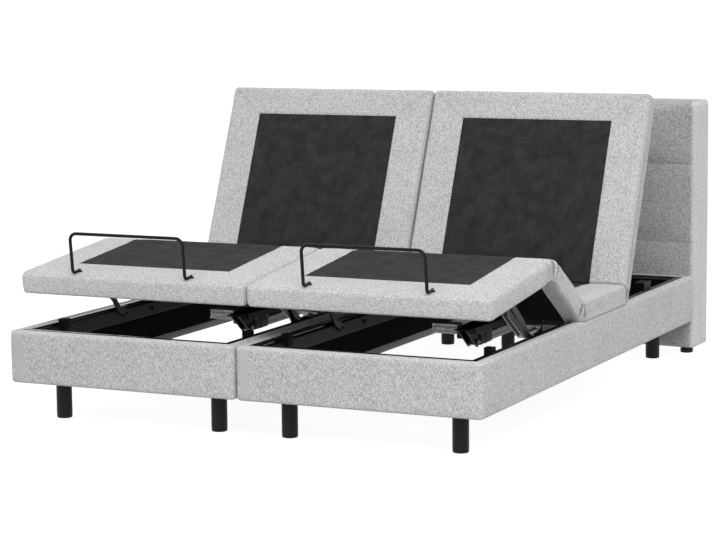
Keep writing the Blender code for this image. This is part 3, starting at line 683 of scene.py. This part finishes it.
def deck_piece(tag, name, centre_x, fold_name, start_y, end_y, replaced, mats):
    """One padded stretch of the deck over a hinge line, from mid-section to mid-section or a free end."""
    free_foot, free_head = start_y == CALF_FOOT_Y, end_y == BACK_HEAD_Y
    fold, flat_y = FOLDS[fold_name]
    far, planes = FOLD_ROWS[fold_name]
    marks = rigid_marks(start_y - flat_y, end_y - flat_y, far, flat_y, free_foot, free_head)
    stations = deck_stations(fold, marks, far, planes)
    xs = deck_lines_x()
    ts = deck_lines_t()
    lows = (-DECK_HALF, UNDER, start_y)
    highs = (DECK_HALF, OVER, end_y)
    radii = ((EDGE_X, EDGE_X), (EDGE_UNDER, EDGE_TOP),
             (EDGE_X if free_foot else 0.0, EDGE_X if free_head else 0.0))
    top = (len(xs) - 1, len(ts) - 1, len(stations) - 1)
    creases = {}

    def flat_u(kind, side, value, t):
        if kind == "rigid":
            return value
        if kind == "morph":
            return side * far + value * (fold.edge(side, t) - side * far)
        return fold.zone(value, t)[1]

    def place(i, j, k):
        kind, side, value = stations[k]
        x, t = xs[i], ts[j]
        u = flat_u(kind, side, value, t)
        y_flat = flat_y + u
        faces = [0.0, 0.0, 0.0]
        for axis, number in enumerate((i, j, k)):
            if number in (0, top[axis]):
                faces[axis] = 1.0 if number else -1.0
        (rx, rt, ry), outward = round_box((x, t, y_flat), lows, highs, radii)
        if outward == (0.0, 0.0, 0.0):
            outward = tuple(faces)
        if k in (0, top[2]) and not (free_foot if k == 0 else free_head):
            outward = (outward[0], outward[1], 0.0)
        shade = 0.0
        inner = 1.0 if centre_x < 0.0 else -1.0
        dx, dt, dy = deck_shape(rx, rt, ry, outward, inner)
        if abs(outward[0]) > 0.35:
            sign = 1.0 if outward[0] > 0 else -1.0
            swell = puckers(fold_name, sign, rt, u, value if kind == "zone" else side * 9.0)
            swell *= INNER_GATHERS if sign == inner else 1.0
            swell += side_creases(rx, rt, ry)
            # Painted shade: the deeper a gather sinks into the side, the darker the cloth is painted there.
            shade = clamp(-swell / FULL_FOLD_SHADE_DEPTH) * abs(outward[0])
            dx += sign * abs(outward[0]) * swell
        if j == 0:
            for pocket, here in ((BUMPER_POCKET, free_foot), (STOP_POCKET, free_head)):
                if here and pocket[0] + 1e-4 < abs(x) < pocket[1] - 1e-4 and pocket[2] < y_flat < pocket[3]:
                    dt += pocket[4] - UNDER
        nx, nt = rx + dx, rt + dt
        if kind == "zone":
            at, _ = fold.zone(value, nt)
        elif kind == "morph":
            at = fold.rigid(side, flat_u(kind, side, value, nt), nt)
        else:
            at = fold.rigid(side, ry + dy - flat_y, nt)
        creases[(i, j, k)] = shade
        point = (centre_x + nx, at[0] - 0.5 * DEPTH, at[1])
        return point, (x, t, y_flat)

    def kind_of(axis, high, cell):
        if axis == 1:
            x = 0.5 * (abs(xs[cell[0][0]]) + abs(xs[cell[2][0]]))
            k0, k1 = cell[0][2], cell[2][2]
            t = OVER if high else UNDER
            mid = flat_y + 0.5 * (flat_u(*stations[k0], t) + flat_u(*stations[k1], t))
            if high and x < PANEL_HALF and PANEL_FOOT_Y < mid < PANEL_HEAD_Y:
                return 1
            after_foot = mid > start_y + STRIP or not free_foot
            before_head = mid < end_y - STRIP or not free_head
            # Underside faces inside the border strip take the near-black cloth, painted shade for the hollow
            # under the deck.
            if not high and x < DECK_HALF - STRIP and after_foot and before_head:
                return 2
        return 0

    points, faces, kinds, weave = lattice(xs, ts, stations, place, kind_of)
    made = mesh_piece(f"{tag}_{name}_upholstery", points, faces, kinds,
                      (mats["deck"], mats["panel"], mats["dust_and_shade"]), weave, 50.0)
    # Stores each point's painted fold shade for the deck material.
    fold_shade_attribute = made.data.attributes.new("painted_fold_shade", "FLOAT", "POINT")
    fold_shade_attribute.data.foreach_set("value", list(creases.values()))
    start, end = fold.ends(centre_x)
    tuple(start)
    tuple(end)
    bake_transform(made)
    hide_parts(*(f"{tag}_{node}" for node in replaced))


def build_deck(tag, centre_x, mats):
    mid_thigh = 0.5 * (KNEE_Y + THIGH_HINGE_Y)
    mid_seat = 0.5 * (THIGH_HINGE_Y + BACK_HINGE_Y)
    deck_piece(tag, "calf", centre_x, "knee", CALF_FOOT_Y, mid_thigh, ["calf_section"], mats)
    deck_piece(tag, "seat", centre_x, "seat", mid_thigh, mid_seat,
               ["thigh_section", "seat_section"], mats)
    deck_piece(tag, "back", centre_x, "back", mid_seat, BACK_HEAD_Y, ["back_section"],
               mats)


# ---------------------------------------------------------------- upholstered boxes
def box_profile():
    """Section of the rail as (inward, height, material) going up the outside and down the inside."""
    low, high = RAIL_BOTTOM, RAIL_TOP
    hem_radius, shoulder = 0.008, 0.011
    foot_turns = [math.radians(22.5 * i) for i in range(5)]
    head_turns = [math.radians(18.0 * i) for i in range(6)]
    cloth = [(hem_radius * (1.0 - math.sin(a)), low + hem_radius * (1.0 - math.cos(a))) for a in foot_turns]
    cloth += [(0.0, z) for z in spread(0.145, 0.268, 0.016)]
    cloth += [(shoulder * (1.0 - math.cos(a)), high - shoulder * (1.0 - math.sin(a))) for a in head_turns]
    cloth += [(0.0180, high), (0.0250, high - 0.0001), (0.0290, high - 0.0010)]
    groove = [(0.0300, high - 0.0040), (0.0312, high - 0.0042)]
    lip = [(0.0318, high - 0.0014), (0.0332, high - 0.0004), (0.0400, high - 0.0001)]
    lip += [(0.0480, high - 0.0002), (0.0512, high - 0.0012), (0.0524, high - 0.0034)]
    lip += [(0.0526, high - 0.0060), (0.0526, high - 0.0112), (0.0514, high - 0.0114)]
    lining = [(0.0450, high - 0.0114), (0.0445, high - 0.0205)]
    lining += [(0.0443, z) for z in spread(0.262, 0.152, 0.022)]
    # Hem faces take the darker, painted-shade copy of the rail fabric.
    hem = [(0.0443, 0.1485), (0.0450, 0.1475), (0.0450, 0.1365), (0.0450, 0.1268)]
    # Bottom faces take the near-black underside cloth, partly painted shade.
    below = [(0.0432, low), (0.0330, low), (0.0200, low)]
    parts = ((cloth, 0), (groove, 3), (lip, 4), (lining, 1), (hem, 2), (below, 5))
    return [(inward, z, kind) for part, kind in parts for inward, z in part]


def ring_path(inward):
    """Points round the box at one depth, along the foot rail first: position and outward direction."""
    radius = max(0.018 - inward, 0.002)
    inset = inward + radius
    x, y = BASE_HALF - inset, BASE_LENGTH - inset
    corners = [(x, inset, -90.0), (x, y, 0.0), (-x, y, 90.0), (-x, inset, 180.0)]
    path = []
    for index, (cx, cy, start) in enumerate(corners):
        px, py, _ = corners[index - 1]
        a = math.radians(start)
        before = (px + radius * math.cos(a), py + radius * math.sin(a))
        after = (cx + radius * math.cos(a), cy + radius * math.sin(a))
        steps = 26 if index in (0, 2) else 60
        for i in range(1, steps):
            share = i / steps
            path.append((before[0] + (after[0] - before[0]) * share,
                         before[1] + (after[1] - before[1]) * share, math.cos(a), math.sin(a)))
        for i in range(9):
            b = math.radians(start + 90.0 * i / 8)
            path.append((cx + radius * math.cos(b), cy + radius * math.sin(b), math.cos(b), math.sin(b)))
    return path


WEAVE_SHIFT = 0.0617


def build_box(tag, centre_x, mats):
    profile = box_profile()
    outer_run = [0.0]
    outer = ring_path(0.0)
    for a, b in zip(outer, outer[1:]):
        outer_run.append(outer_run[-1] + math.hypot(b[0] - a[0], b[1] - a[1]))
    points = []
    weave = []
    faces = []
    kinds = []
    count = len(outer)
    for inward, z, _ in profile:
        ring = ring_path(inward)
        for k, (x, y, nx, ny) in enumerate(ring):
            push = 0.0
            if inward < 0.002:
                level = clamp((z - RAIL_BOTTOM) / (RAIL_TOP - RAIL_BOTTOM))
                wave = noise.noise(Vector((x * 6.0 + centre_x, y * 6.0, z * 9.0)))
                push = 0.0009 * (1.0 - abs(2.0 * level - 1.0) ** 2) + 0.0007 * wave
            points.append((centre_x + x + nx * push, y + ny * push - 0.5 * DEPTH, z))
            weave.append((outer_run[k], inward + WEAVE_SHIFT, z))
    rows = len(profile)
    for j in range(rows):
        n = (j + 1) % rows
        for k in range(count):
            m = (k + 1) % count
            faces.append([j * count + k, j * count + m, n * count + m, n * count + k])
            kinds.append(profile[j][2])
    made = mesh_piece(f"{tag}_box_cover", points, faces, kinds,
                      (mats["rail"], mats["lining"], mats["hem"], mats["lining"], mats["lip"],
                       mats["dust_and_shade"]), weave, 50.0)
    rails = [f"{tag}_{part}" for part in ("foot_rail", "head_rail", "rail_outer", "rail_inner")]
    settle(made, "chassis", "rail_fabric", *rails)


# ---------------------------------------------------------------- headboard
COVER_CLOTH = {"quality": 5, "mass": 0.30, "tension_stiffness": 12.0, "compression_stiffness": 12.0,
               "shear_stiffness": 6.0, "bending_stiffness": 0.6, "use_pressure": True}
CLOTH_FRAMES = 20
PUFF_PRESSURE = 4.0


def inflate(made, held, pressure, cap):
    """Blow a padded cover out by cloth simulation; held(point) is 1 where it is sewn or stapled."""
    scene = bpy.context.scene
    mesh = made.data
    start = [v.co.copy() for v in mesh.vertices]
    group = made.vertex_groups.new(name="sewn")
    for i, at in enumerate(start):
        group.add([i], held(at), "REPLACE")
    cloth = made.modifiers.new("cloth", "CLOTH")
    for key, value in COVER_CLOTH.items():
        setattr(cloth.settings, key, value)
    cloth.settings.uniform_pressure_force = pressure
    cloth.settings.vertex_group_mass = "sewn"
    cloth.settings.effector_weights.gravity = 0.0
    cloth.point_cache.frame_start = 1
    cloth.point_cache.frame_end = CLOTH_FRAMES
    for number in range(1, CLOTH_FRAMES + 1):
        scene.frame_set(number)
    settled = made.evaluated_get(bpy.context.evaluated_depsgraph_get()).data
    for vertex, at, moved in zip(mesh.vertices, start, settled.vertices):
        step = moved.co - at
        if step.length > cap:
            step *= cap / step.length
        vertex.co = at + step
    made.modifiers.remove(cloth)
    made.vertex_groups.remove(group)
    scene.frame_set(1)
    mesh.update()


HEADBOARD_HALF = 0.800
HEADBOARD_LOW = 0.0223
HEADBOARD_HIGH = 0.921
HEADBOARD_FRONT = 2.004
HEADBOARD_SPLIT = 2.092
SEAMS = (0.130, 0.409, 0.692)
SIDE_SEAM = 0.787
PUFF_CAP = 0.0070
SEAM_DEPTH = 0.0042
HELD_BEHIND = 0.034


def grid_lines(marks, step, radius_low, radius_high):
    """Grid lines through the marks, with the rows that a rounded edge needs at either end."""
    out = set()
    for a, b in zip(marks, marks[1:]):
        out |= {round(v, 5) for v in spread(a, b, step)}
    first, last = marks[0], marks[-1]
    out = {v for v in out if first + radius_low <= v <= last - radius_high}
    out |= {round(first + radius_low - a, 5) for a in arc_steps(radius_low)}
    out |= {round(last - radius_high + a, 5) for a in arc_steps(radius_high)}
    return out


def seam_valley(x, z):
    """Depth, from 0 to 1, of the sewn valleys along the headboard's seams."""
    depth = max(0.62 * bump_at(z, seam, 0.0035) + 0.38 * bump_at(z, seam, 0.018) for seam in SEAMS)
    if z < HEADBOARD_HIGH - 0.021:
        depth = max(depth, 0.35 * bump_at(abs(x), SIDE_SEAM, 0.0030))
    return depth


def seam_crown(z):
    """Height, from 0 to 1, of the padding between two seams."""
    ends = (HEADBOARD_LOW,) + SEAMS + (HEADBOARD_HIGH,)
    for a, b in zip(ends, ends[1:]):
        if a <= z <= b:
            return math.sin(math.pi * (z - a) / (b - a)) ** 0.55
    return 0.0


def headboard_pad(name, node, y0, y1, radii, lines, front_face, mats):
    """Padded box with rounded edges. The front one is sewn along its seams and blown out between them."""
    xs, ys, zs = (sorted(line) for line in lines)
    lows = (-HEADBOARD_HALF, y0, HEADBOARD_LOW)
    highs = (HEADBOARD_HALF, y1, HEADBOARD_HIGH)
    puffed = 0.0

    def place(i, j, k):
        (x, y, z), outward = round_box((xs[i], ys[j], zs[k]), lows, highs, radii)
        wave = noise.noise(Vector((x * 5.0, y * 8.0, z * 5.0 + 4.0)))
        ripple = noise.noise(Vector((x * 16.0, y * 8.0, z * 16.0 + 4.0)))
        facing = outward[1]
        if outward == (0.0, 0.0, 0.0):
            facing = -1.0 if j == 0 else 0.0
        if front_face and facing < -0.3:
            proud = puffed * seam_crown(z) + 0.0010 * wave + 0.0005 * ripple
            y -= (proud - SEAM_DEPTH * seam_valley(x, z)) * abs(facing)
        elif abs(xs[i]) > HEADBOARD_HALF - 0.001:
            x += (0.0008 * wave + 0.0006) * (1.0 if x > 0 else -1.0)
        return (x, y - 0.5 * DEPTH, z), (xs[i], ys[j] + 0.0023, zs[k])

    def beyond_side_seam(_axis, _high, cell):
        return int(0.5 * (abs(xs[cell[0][0]]) + abs(xs[cell[2][0]])) > SIDE_SEAM)

    def held(p):
        near = max(bump_at(p.z, seam, 0.0045) for seam in SEAMS)
        near = max(near, bump_at(abs(p.x), SIDE_SEAM, 0.006))
        return 1.0 if p.y + 0.5 * DEPTH > y0 + HELD_BEHIND else clamp(near * 1.25)

    points, faces, kinds, weave = lattice(xs, ys, zs, place, beyond_side_seam)
    # Painted shade: the front pad takes the darker copy of the headboard fabric; its sides past the side
    # seams take the lighter one.
    mat = mats["headboard" if front_face else "headboard_back"]
    made = mesh_piece(name, points, faces, kinds, (mat, mats["headboard_back"]), weave, 60.0)
    if front_face:
        inflate(made, held, PUFF_PRESSURE, PUFF_CAP)
    settle(made, "chassis", "headboard_fabric", node)


def build_headboard(mats):
    span = [-HEADBOARD_HALF, HEADBOARD_HALF]
    height = [HEADBOARD_LOW, HEADBOARD_HIGH]
    xs = grid_lines(span, 0.026, 0.028, 0.028)
    xs |= {round(s * (SIDE_SEAM + d), 5) for s in (-1, 1) for d in (-0.006, -0.003, 0.0, 0.003)}
    zs = grid_lines([HEADBOARD_LOW, *SEAMS, HEADBOARD_HIGH], 0.020, 0.006, 0.026)
    beside = [sign * d for d in (0.002, 0.004, 0.007, 0.012) for sign in (-1, 1)]
    zs |= {round(seam + d, 5) for seam in SEAMS for d in beside}
    front, split = HEADBOARD_FRONT, HEADBOARD_SPLIT
    headboard_pad("headboard_front_upholstery", "headboard_front_pad", front, split - 0.0002,
                  ((0.028, 0.028), (0.026, 0.006), (0.006, 0.026)),
                  (xs, grid_lines([front, split - 0.0002], 0.012, 0.026, 0.006), zs), True, mats)
    headboard_pad("headboard_back_upholstery", "headboard_core", split + 0.0002, DEPTH,
                  ((0.014, 0.014), (0.004, 0.026), (0.006, 0.026)),
                  (grid_lines(span, 0.040, 0.014, 0.014),
                   grid_lines([split + 0.0002, DEPTH], 0.018, 0.004, 0.026),
                   grid_lines(height, 0.040, 0.006, 0.026)), False, mats)


# ---------------------------------------------------------------- turned and bent pieces
def lathe(name, outline, centre, mat, steps=40, axis="Z"):
    """Closed solid of revolution. outline is (radius, height) from one end to the other."""
    points = []
    for radius, level in outline:
        for k in range(steps):
            a = 2.0 * math.pi * k / steps
            p = (radius * math.cos(a), radius * math.sin(a), level)
            if axis == "X":
                p = (level, p[0], p[1])
            elif axis == "Y":
                p = (p[0], level, p[1])
            points.append((centre[0] + p[0], centre[1] + p[1], centre[2] + p[2]))
    return mesh_piece(name, points, ring_faces(len(outline), steps), None, (mat,), None, 40.0)


def tube_points(path, radius, steps=16):
    points = []
    side = None
    for i, centre in enumerate(path):
        along = (path[min(i + 1, len(path) - 1)] - path[max(i - 1, 0)]).normalized()
        side = along.orthogonal() if side is None else side - along * side.dot(along)
        side.normalize()
        over = along.cross(side)
        for k in range(steps):
            a = 2.0 * math.pi * k / steps
            points.append(centre + radius * (math.cos(a) * side + math.sin(a) * over))
    return points, ring_faces(len(path), steps)


def build_legs(tag, centre_x, outer, mats):
    outline = [(0.0185, 0.0), (0.0222, 0.0004), (0.0238, 0.0016), (0.0244, 0.0036), (0.0244, 0.0088),
               (0.0236, 0.0094), (0.0236, 0.0104), (0.0247, 0.0110), (0.0248, 0.0128), (0.0248, 0.0600),
               (0.0248, 0.1170), (0.0244, 0.1200), (0.0250, 0.1204), (0.0250, 0.1246), (0.0240, 0.1252)]
    for end, y in (("foot", 0.124), ("head", 1.895)):
        for side, sign in (("outer", outer), ("inner", -outer)):
            node = f"{tag}_leg_{end}_{side}"
            at = (centre_x + sign * 0.280, y - 0.5 * DEPTH, 0.0)
            leg = lathe(f"{node}_turned", outline, at, mats["plastic"], 48)
            settle(leg, "chassis", "black_plastic", node)


def build_glides(mats):
    """Round plastic glides under the headboard's ends."""
    outline = [(0.0190, 0.0), (0.0222, 0.0010), (0.0230, 0.0030), (0.0230, 0.0150), (0.0205, 0.0165),
               (0.0205, 0.0215)]
    for side in ("left", "right"):
        node = f"headboard_glide_{side}"
        low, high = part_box(node)
        at = (0.5 * (low.x + high.x), low.y + 0.030, 0.0)
        glide = lathe(f"{node}_turned", outline, at, mats["plastic"], 36)
        settle(glide, "chassis", "black_plastic", node)


def build_retainer(tag, centre_x, mats):
    """Bent round bar on two flattened feet, each held by a low round-head screw."""
    y = CALF_FOOT_Y - 0.0035
    half = 0.200
    radius = 0.0052
    base = OVER + radius + 0.0006
    top = OVER + 0.137 - radius
    bend = 0.023
    foot = 0.011
    path = []
    for sign in (-1.0, 1.0):
        side = [(half, y + 0.036 - 0.005 * i, base) for i in range(5)]
        for a in (0.5 * math.pi * i / 8 for i in range(9)):
            side.append((half, y + foot * (1.0 - math.sin(a)), base + foot * (1.0 - math.cos(a))))
        for a in (0.5 * math.pi * i / 12 for i in range(13)):
            side.append((half - bend * (1.0 - math.cos(a)), y, top - bend * (1.0 - math.sin(a))))
        side = [(sign * across, along, up) for across, along, up in side]
        path += side if sign < 0.0 else side[::-1]
    knee = knee_point()
    turn = Matrix.Rotation(CALF_TILT, 3, "X")
    shift = Vector((centre_x, knee[0] - 0.5 * DEPTH, knee[1]))

    def on_calf(p):
        return turn @ Vector((p[0], p[1] - KNEE_Y, p[2])) + shift

    points, faces = tube_points([on_calf(p) for p in path], radius, 18)
    bar = mesh_piece(f"{tag}_retainer_rail", points, faces, None, (mats["bar"],), None, 50.0)
    settle(bar, f"{tag}_calf", "black_steel", f"{tag}_retainer_bar")
    for side, sign in (("a", -1.0), ("b", 1.0)):
        outline = [(0.0085, 0.0), (0.0092, 0.0006), (0.0092, 0.0030), (0.0080, 0.0040), (0.0052, 0.0046),
                   (0.0050, 0.0092), (0.0040, 0.0104), (0.0015, 0.0108)]
        screw = lathe(f"{tag}_retainer_foot_{side}", outline, (0.0, 0.0, 0.0), mats["black"], 28)
        at = on_calf(Vector((sign * half, y + 0.038, OVER + 0.0004)))
        screw.data.transform(Matrix.Translation(at) @ turn.to_4x4())
        settle(screw, f"{tag}_calf", "black_steel")


def motor_outline(radius, low, high, flipped=False):
    """Side view of a motor can with a stepped cap at its low end, or its high end if flipped."""
    rows = [(radius * 0.30, low), (radius * 0.34, low + 0.0012), (radius * 0.86, low + 0.0016),
            (radius * 0.97, low + 0.0034), (radius, low + 0.0062)]
    band = radius * 0.955
    for share in (0.30, 0.34, 0.38):
        z = low + share * (high - low)
        rows += [(radius, z), (band, z + 0.0005), (band, z + 0.0010), (radius, z + 0.0015)]
    rows.append((radius, high))
    return [(r, low + high - z) for r, z in rows[::-1]] if flipped else rows


def tilted(centre_x, pivot, angle):
    """Frame of a drive: from the flat drawing of a base to its rest place in the part's frame."""
    there = Matrix.Translation((centre_x, pivot[0] - 0.5 * DEPTH, pivot[1]))
    back = Matrix.Translation((0.0, -pivot[0], -pivot[1]))
    return there @ Matrix.Rotation(angle, 4, "X") @ back


class Workshop:
    """Makes one body's pieces from the flat drawing of a base. turn takes them to their rest place."""

    def __init__(self, tag, body, turn, mats):
        self.tag, self.body, self.turn, self.mats = tag, body, turn, mats

    def block(self, name, low, high, radius, finish="housing", slot="drive_plastic"):
        """Block with rounded edges and corners, given by its corners before it is turned."""
        lines = []
        for lo, hi in zip(low, high):
            inner = spread(lo + radius, hi - radius, max(0.03, 0.5 * (hi - lo)))
            lines.append([lo + radius - a for a in arc_steps(radius, 3)[::-1]][:-1] + inner
                         + [hi - radius + a for a in arc_steps(radius, 3)][1:])

        def place(i, j, k):
            at, _ = round_box((lines[0][i], lines[1][j], lines[2][k]), low, high, ((radius, radius),) * 3)
            return self.turn @ Vector(at), (0.0, 0.0, 0.0)

        points, faces, kinds, _ = lattice(*lines, place, lambda *a: 0)
        made = mesh_piece(f"{self.tag}_{name}", points, faces, kinds, (self.mats[finish],), None, 40.0)
        return settle(made, self.body, slot)

    def turned(self, name, outline, at, axis, finish, slot, steps):
        """Solid of revolution about an axis through the point at."""
        made = lathe(f"{self.tag}_{name}", outline, (0.0, 0.0, 0.0), self.mats[finish], steps, axis)
        made.data.transform(self.turn @ Matrix.Translation(at))
        settle(made, self.body, slot)

    def channel(self, name, x, z, half_x, half_z, wall, y0, y1):
        """Drawn aluminium channel: open slot along the top and a shallow groove along each side."""
        slot = 0.0042
        groove = 0.0009
        right = [(slot, half_z), (half_x - 0.0008, half_z), (half_x, half_z - 0.0008), (half_x, 0.0030),
                 (half_x - groove, 0.0018), (half_x - groove, -0.0018), (half_x, -0.0030),
                 (half_x, -half_z + 0.0008), (half_x - 0.0008, -half_z)]
        outer = right + [(-a, b) for a, b in right[::-1]]
        inner = [(-slot, half_z - wall), (-half_x + wall, half_z - wall), (-half_x + wall, -half_z + wall),
                 (half_x - wall, -half_z + wall), (half_x - wall, half_z - wall), (slot, half_z - wall)]
        outline = outer + inner
        stations = spread(y0, y1, 0.08)
        points = [self.turn @ Vector((x + a, y, z + b)) for y in stations for a, b in outline]
        faces = ring_faces(len(stations), len(outline))
        mat = self.mats["aluminium"]
        settle(mesh_piece(f"{self.tag}_{name}", points, faces, None, (mat,), None, 25.0), self.body,
               "drive_aluminium")


def facing(outline, side):
    """An outline turned over for the other side."""
    return [(radius, side * height) for radius, height in outline]


def build_head_drive(tag, centre_x, mats):
    x, y, z = HEAD_DRIVE
    shop = Workshop(tag, f"{tag}_head_housing", tilted(centre_x, (y, z), HEAD_DRIVE_TILT), mats)
    gearbox = shop.block("head_gearbox", (x - 0.0208, 0.6540, z - 0.0148), (x + 0.0208, 0.7495, z + 0.0298),
                         0.0040)
    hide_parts(f"{tag}_head_drive_housing")
    shop.block("head_gearbox_seam", (x - 0.0214, 0.6985, z - 0.0154), (x + 0.0214, 0.7010, z + 0.0304),
               0.0010)
    shop.block("head_clevis", (x - 0.0112, 0.6240, z - 0.0106), (x + 0.0112, 0.6600, z + 0.0106), 0.0040,
               "black")
    shop.block("head_bridge", (x - 0.0650, 0.6605, z + 0.0002), (x - 0.0190, 0.6945, z + 0.0198), 0.0030)
    screw = [(0.0030, 0.0), (0.0030, 0.0008), (0.0022, 0.0013), (0.0008, 0.0014)]
    corners = ((0.6610, 0.0225), (0.7420, 0.0225), (0.6610, -0.0078), (0.7420, -0.0078))
    for letter, side in (("a", -1.0), ("b", 1.0)):
        for number, (along, up) in enumerate(corners):
            at = (x + side * 0.0206, along, z + up)
            shop.turned(f"head_screw_{letter}{number}", facing(screw, side), at, "X", "zinc",
                        "zinc_steel", 14)
    shop.channel("head_channel", x, z, 0.0138, 0.0141, 0.0014, 0.7450, 1.2045)
    left = x - 0.1470
    shop.block("head_cover", (left, 0.6550, 0.2552), (left + 0.0860, 0.7000, 0.2868), 0.0016, "zinc",
               "zinc_steel")
    shop.block("head_cover_fold", (left - 0.0012, 0.6538, 0.2552), (left + 0.0872, 0.6560, 0.2628), 0.0006,
               "zinc", "zinc_steel")
    for i in range(9):
        at = left + 0.0070 + 0.0090 * i
        shop.block(f"head_cover_slot_{i}", (at - 0.0024, 0.6544, 0.2742), (at + 0.0024, 0.6560, 0.2786),
                   0.0006, "lining", "black_steel")
    shop.turned("head_motor", motor_outline(0.0190, 0.6900, 0.7950, True), (x - 0.0470, 0.0, z + 0.0240), "Y",
                "housing", "drive_plastic", 40)


def build_leg_drive(tag, centre_x, mats):
    x, y, z = LEG_DRIVE
    shop = Workshop(tag, f"{tag}_leg_housing", tilted(centre_x, (y, z), LEG_DRIVE_TILT), mats)
    gearbox = shop.block("leg_gearbox", (x - 0.0298, 1.2352, z - 0.0223), (x + 0.0298, 1.3678, z + 0.0213),
                         0.0050)
    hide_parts(f"{tag}_leg_drive_housing")
    shop.block("leg_gearbox_seam", (x - 0.0304, 1.2990, z - 0.0229), (x + 0.0304, 1.3020, z + 0.0219), 0.0010)
    shop.block("leg_clevis", (x - 0.0173, 1.3600, z - 0.0108), (x + 0.0173, 1.4068, z + 0.0108), 0.0050,
               "black")
    shop.channel("leg_channel", x, z, 0.0148, 0.0148, 0.0024, 0.9682, 1.2400)
    shop.turned("leg_motor", motor_outline(0.0205, 0.1500, 0.2250), (x, 1.3020, 0.0), "Z", "housing",
                "drive_plastic", 40)


def build_fittings(tag, centre_x, mats):
    """Rubber bumpers, bracket nuts, the light cross pin by the thigh lever and a wire loop."""
    shop = Workshop(tag, "chassis", tilted(centre_x, (0.0, 0.0), 0.0), mats)
    nut = [(0.0072, 0.0), (0.0072, 0.0040), (0.0062, 0.0050), (0.0040, 0.0052), (0.0040, 0.0072),
           (0.0030, 0.0078)]
    for letter, side in (("a", -1.0), ("b", 1.0)):
        x0, x1 = sorted((side * 0.3200, side * 0.3470))
        shop.block(f"bumper_{letter}", (x0, 0.2025, 0.2618), (x1, 0.2335, 0.3005), 0.0035, "rubber",
                   "black_plastic")
        at = (HEAD_DRIVE[0] + side * 0.0189, *HEAD_DRIVE[1:])
        shop.turned(f"drive_nut_{letter}", facing(nut, side), at, "X", "strap", "zinc_steel", 6)
    pin = [(0.0040, 0.0), (0.0045, 0.0005), (0.0045, 0.0560), (0.0074, 0.0565), (0.0074, 0.0625),
           (0.0060, 0.0640), (0.0040, 0.0645), (0.0040, 0.0700), (0.0032, 0.0708)]
    shop.turned("tube_pin", pin, (0.163, 0.8950, 0.2580), "X", "aluminium", "drive_aluminium", 18)
    loop = [Vector((0.2395 + 0.0070 * math.cos(a), 0.8852 + 0.0006 * i, 0.2730 + 0.0070 * math.sin(a)))
            for i, a in enumerate(math.radians(20.0 * n) for n in range(18))]
    points, faces = tube_points([shop.turn @ p for p in loop], 0.0013, 8)
    wire = mesh_piece(f"{tag}_wire_loop", points, faces, None, (mats["zinc"],), None, 50.0)
    settle(wire, "chassis", "zinc_steel")


def dress(node, mat):
    """Give a carried-over CAD part its finish."""
    part = bpy.data.objects[node]
    part.data.materials.clear()
    part.data.materials.append(mat)


CARRIED_OVER = {
    "grey": ("side_member_outer", "side_member_inner"),
    "black": ("cross_tube_front", "cross_tube_rear", "back_lever", "calf_frame", "calf_link_outer",
              "calf_link_inner"),
    "housing": ("control_box",),
    "strap": ("thigh_lever",),
    "aluminium": ("head_drive_rod", "leg_drive_rod"),
}

add_camera()
add_stage()
MATS = make_materials()
for tag, centre_x, outer in BASES:
    build_deck(tag, centre_x, MATS)
    build_box(tag, centre_x, MATS)
    build_legs(tag, centre_x, outer, MATS)
    build_retainer(tag, centre_x, MATS)
    build_head_drive(tag, centre_x, MATS)
    build_leg_drive(tag, centre_x, MATS)
    build_fittings(tag, centre_x, MATS)
    for finish, parts in CARRIED_OVER.items():
        for part in parts:
            dress(f"{tag}_{part}", MATS[finish])
build_headboard(MATS)
build_glides(MATS)
